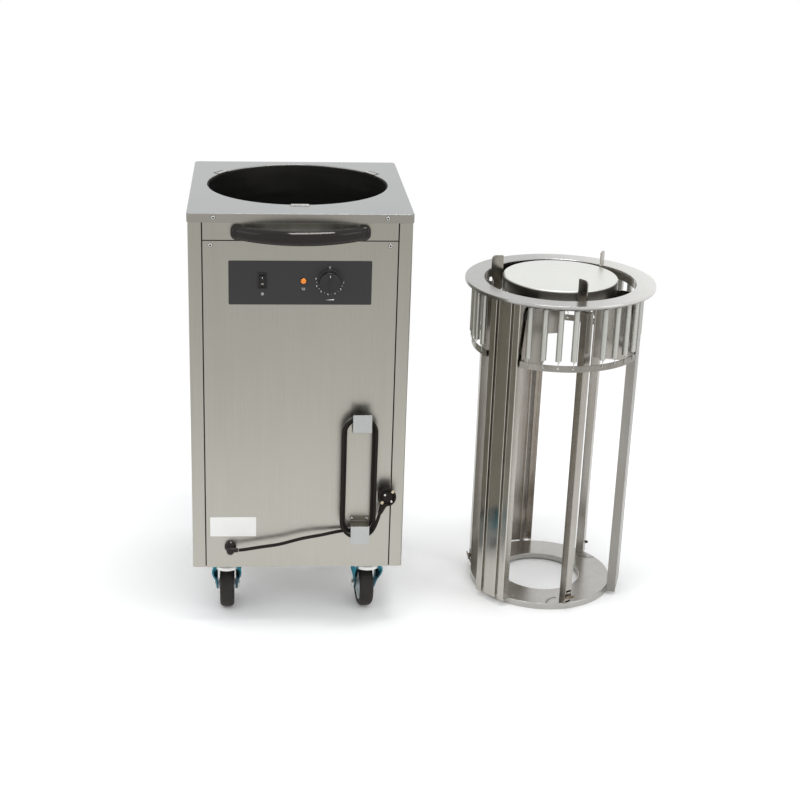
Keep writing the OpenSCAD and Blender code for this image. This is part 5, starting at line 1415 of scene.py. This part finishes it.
def makeGuides(s, frameSettings):
    a, b, half, t, foot, high = s["inner"], s["outer"], s["width"] / 2, 1.5, s["foot"], s["shoulder"]
    for tag, angle in frameSettings["groups"].items():
        place = guidePlace(angle, s["turn"], frameSettings["pivot"])
        bm = bmesh.new()
        channel = fillet(mirrored([(b, -half, 0.3), (a, -half, 2.2)])
                         + mirrored([(b, half - t, 0.3), (a + t, half - t, 0.8)]), 1, 4)
        addPrism(bm, channel, foot, high)
        lid = [(a + t, t - half), (b, t - half), (b, half - t), (a + t, half - t)]
        addPlate(bm, lid, [ringPoints(5.05, 28)], foot, foot + s["cap"])
        addPlate(bm, lid, [ringPoints(3.05, 24)], high - s["cap"], high)
        addPlate(bm, roundRect(s["width"] - 2.4, 20, 0.8, 3, 0, s["clampZ"]),
                 [ringPoints(3.05, 20, 0, s["clampZ"])], b - 3, b - 1, outwards)
        addBox(bm, (t, 2 * (half - t) - 0.1, high - s["cap"] - s["coverLow"]),
               (b - t / 2, 0, (high - s["cap"] + s["coverLow"]) / 2))
        inside, top = s["fingerIn"], s["top"]
        outline = fillet([(a + 0.7, high - 30, 0.3), (inside, high - 8, 3), (inside, top, 2.5),
                          (-1, top, 9), (-1, 708, 3), (-7.2, 697, 2),
                          (-7.2, high - 1, 0.3), (a + 0.7, high - 1, 0.3)], 1, 7)
        addPrism(bm, outline, -s["finger"] / 2, s["finger"] / 2, across)
        put(bm, "plateGuide" + tag.capitalize(), "guide_" + tag, "insert", "insert_steel",
            ["plate_guide_" + tag], place, bevel=0.3, angle=40)

        bm = bmesh.new()
        turn = moved(0, 0, s["clampZ"]) @ spun(90, "Y")
        addLathe(bm, fillet([(0, 5.3, 0), (3, 5.3), (3, 11.9, 0), (5, 11.9), (5, 16.4, 1), (3.2, 18.6, 0.7),
                             (0, 18.7, 0)], 0.5), 28, place=turn)
        for sign in (-1, 1):
            wing = fillet([(sign * -2.2, sign * 2, 1), (sign * 3.2, sign * 1.5, 2),
                           (sign * 5.4, sign * 9, 2), (sign * 4.6, sign * 13.6, 3.2),
                           (sign * -0.4, sign * 14.2, 3), (sign * -1.8, sign * 9, 4)], 1, 4)
            addPrism(bm, wing, 16.6, 18.8, turn)
        put(bm, "wingScrew" + tag.capitalize(), "wing_" + tag, "wing", "spring_steel",
            ["wing_screw_" + tag], place, bevel=0.5, angle=45)
    # engraved scale on the base ring beside each guide
    tick = bmesh.new()
    addPrism(tick, [(25, -1.2), (31, -1.2), (31, 1.2), (25, 1.2)], 0, 0.06)
    cell = plainObject(tick, "scaleCell")
    marks = bmesh.new()
    for angle in frameSettings["groups"].values():
        spot = spun(angle) @ moved(s["scaleX"], s["scaleY"], frameSettings["base"] + 0.01)
        row = roundRow("scaleRow", cell, 7, 12, "cord", 178)
        addMesh(marks, row, spot)
        drop(row)
    drop(cell)
    put(marks, "guideScales", "insert", "cord", "insert_steel", place=insertPlace(), smooth=False)


makeGuides(guideSettings, insertSettings)
print("guides made")

# studio

studioSettings = {"floorColour": (0.86, 0.865, 0.87), "floorWhite": 1.08, "backdropWhite": 1.04,
                  "near": 0.95, "far": 1.7, "world": 0.95}


def whitened(tree, colour, level):  # white for the camera, mirror images and glass; also returns that mask
    light = grow(tree, "ShaderNodeLightPath")
    seen = maths(tree, "MAXIMUM", light.outputs["Is Camera Ray"],
                 maths(tree, "MAXIMUM", light.outputs["Is Glossy Ray"],
                       light.outputs["Is Transmission Ray"]))
    mix = grow(tree, "ShaderNodeMix", data_type="RGBA", blend_type="MIX")
    joinTree(tree, [(seen, mix.inputs["Factor"]), (colour, mix.inputs["A"])])
    mix.inputs["B"].default_value = (level, level, level, 1)
    return mix.outputs["Result"], seen


def makeStudio(s):
    bm = bmesh.new()
    addPrism(bm, ringPoints(40, 64), -0.02, 0)
    floor = plainObject(bm, "studioFloor")
    material, tree, shader = freshMaterial("floorPaper")
    paper = grain(tree, (3, 3, 3), 3, 0.5)
    colour = blendColours(tree, paper, tuple(c * 0.99 for c in s["floorColour"]), s["floorColour"])
    colour, seen = whitened(tree, colour, s["floorWhite"])
    tree.links.new(colour, shader.inputs["Base Color"])
    shader.inputs["Roughness"].default_value = 0.9
    shader.inputs["Specular IOR Level"].default_value = 0.0
    # away from the part the paper fades into pure white for what the camera and the metal see
    coords = grow(tree, "ShaderNodeTexCoord")
    length = grow(tree, "ShaderNodeVectorMath", operation="LENGTH")
    spread = grow(tree, "ShaderNodeMapRange", interpolation_type="SMOOTHSTEP")
    spread.inputs["From Min"].default_value, spread.inputs["From Max"].default_value = s["near"], s["far"]
    glow, blend = grow(tree, "ShaderNodeEmission"), grow(tree, "ShaderNodeMixShader")
    joinTree(tree, [(coords.outputs["Object"], length.inputs[0]),
                    (length.outputs["Value"], spread.inputs["Value"])])
    joinTree(tree, [(maths(tree, "MULTIPLY", seen, spread.outputs["Result"]), blend.inputs[0]),
                    (shader.outputs[0], blend.inputs[1]), (glow.outputs[0], blend.inputs[2]),
                    (blend.outputs[0], tree.nodes["Material Output"].inputs["Surface"])])
    floor.data.materials.append(material)

    world = bpy.data.worlds.new("studioWorld")
    scene.world = world
    world.use_nodes = True
    tree = world.node_tree
    background = tree.nodes["Background"]
    coords = grow(tree, "ShaderNodeTexCoord")
    split = grow(tree, "ShaderNodeSeparateXYZ")
    tree.links.new(coords.outputs["Generated"], split.inputs[0])
    ramp = grow(tree, "ShaderNodeValToRGB")
    stops = ramp.color_ramp.elements
    stops[0].position, stops[0].color = 0.0, (0.60, 0.59, 0.57, 1)
    stops[1].position, stops[1].color = 1.0, (1.0, 1.02, 1.04, 1)
    middle = stops.new(0.25)
    middle.color = (1.0, 1.0, 1.0, 1)
    tree.links.new(split.outputs["Z"], ramp.inputs["Fac"])
    # the camera and the metal see a white backdrop down to the floor
    colour, seen = whitened(tree, ramp.outputs["Color"], s["backdropWhite"])
    tree.links.new(colour, background.inputs["Color"])
    background.inputs["Strength"].default_value = s["world"]

    def softbox(name, spot, aim, size, power):
        data = bpy.data.lights.new(name, "AREA")
        data.shape, data.size, data.size_y, data.energy = "RECTANGLE", size[0], size[1], power
        lamp = bpy.data.objects.new(name, data)
        scene.collection.objects.link(lamp)
        lamp.location = spot
        lamp.rotation_euler = (Vector(aim) - Vector(spot)).to_track_quat("-Z", "Y").to_euler()

    softbox("softboxTop", (0.1, -0.4, 3.2), (0, 0, 0.4), (1.3, 0.4), 21)
    softbox("softboxRight", (2.4, -1.6, 1.9), (0, 0, 0.5), (1.4, 2.0), 9)
    softbox("softboxLeft", (-2.6, -1.4, 1.6), (0, 0, 0.5), (1.4, 2.0), 6)


makeStudio(studioSettings)
scene.view_settings.view_transform = "Standard"
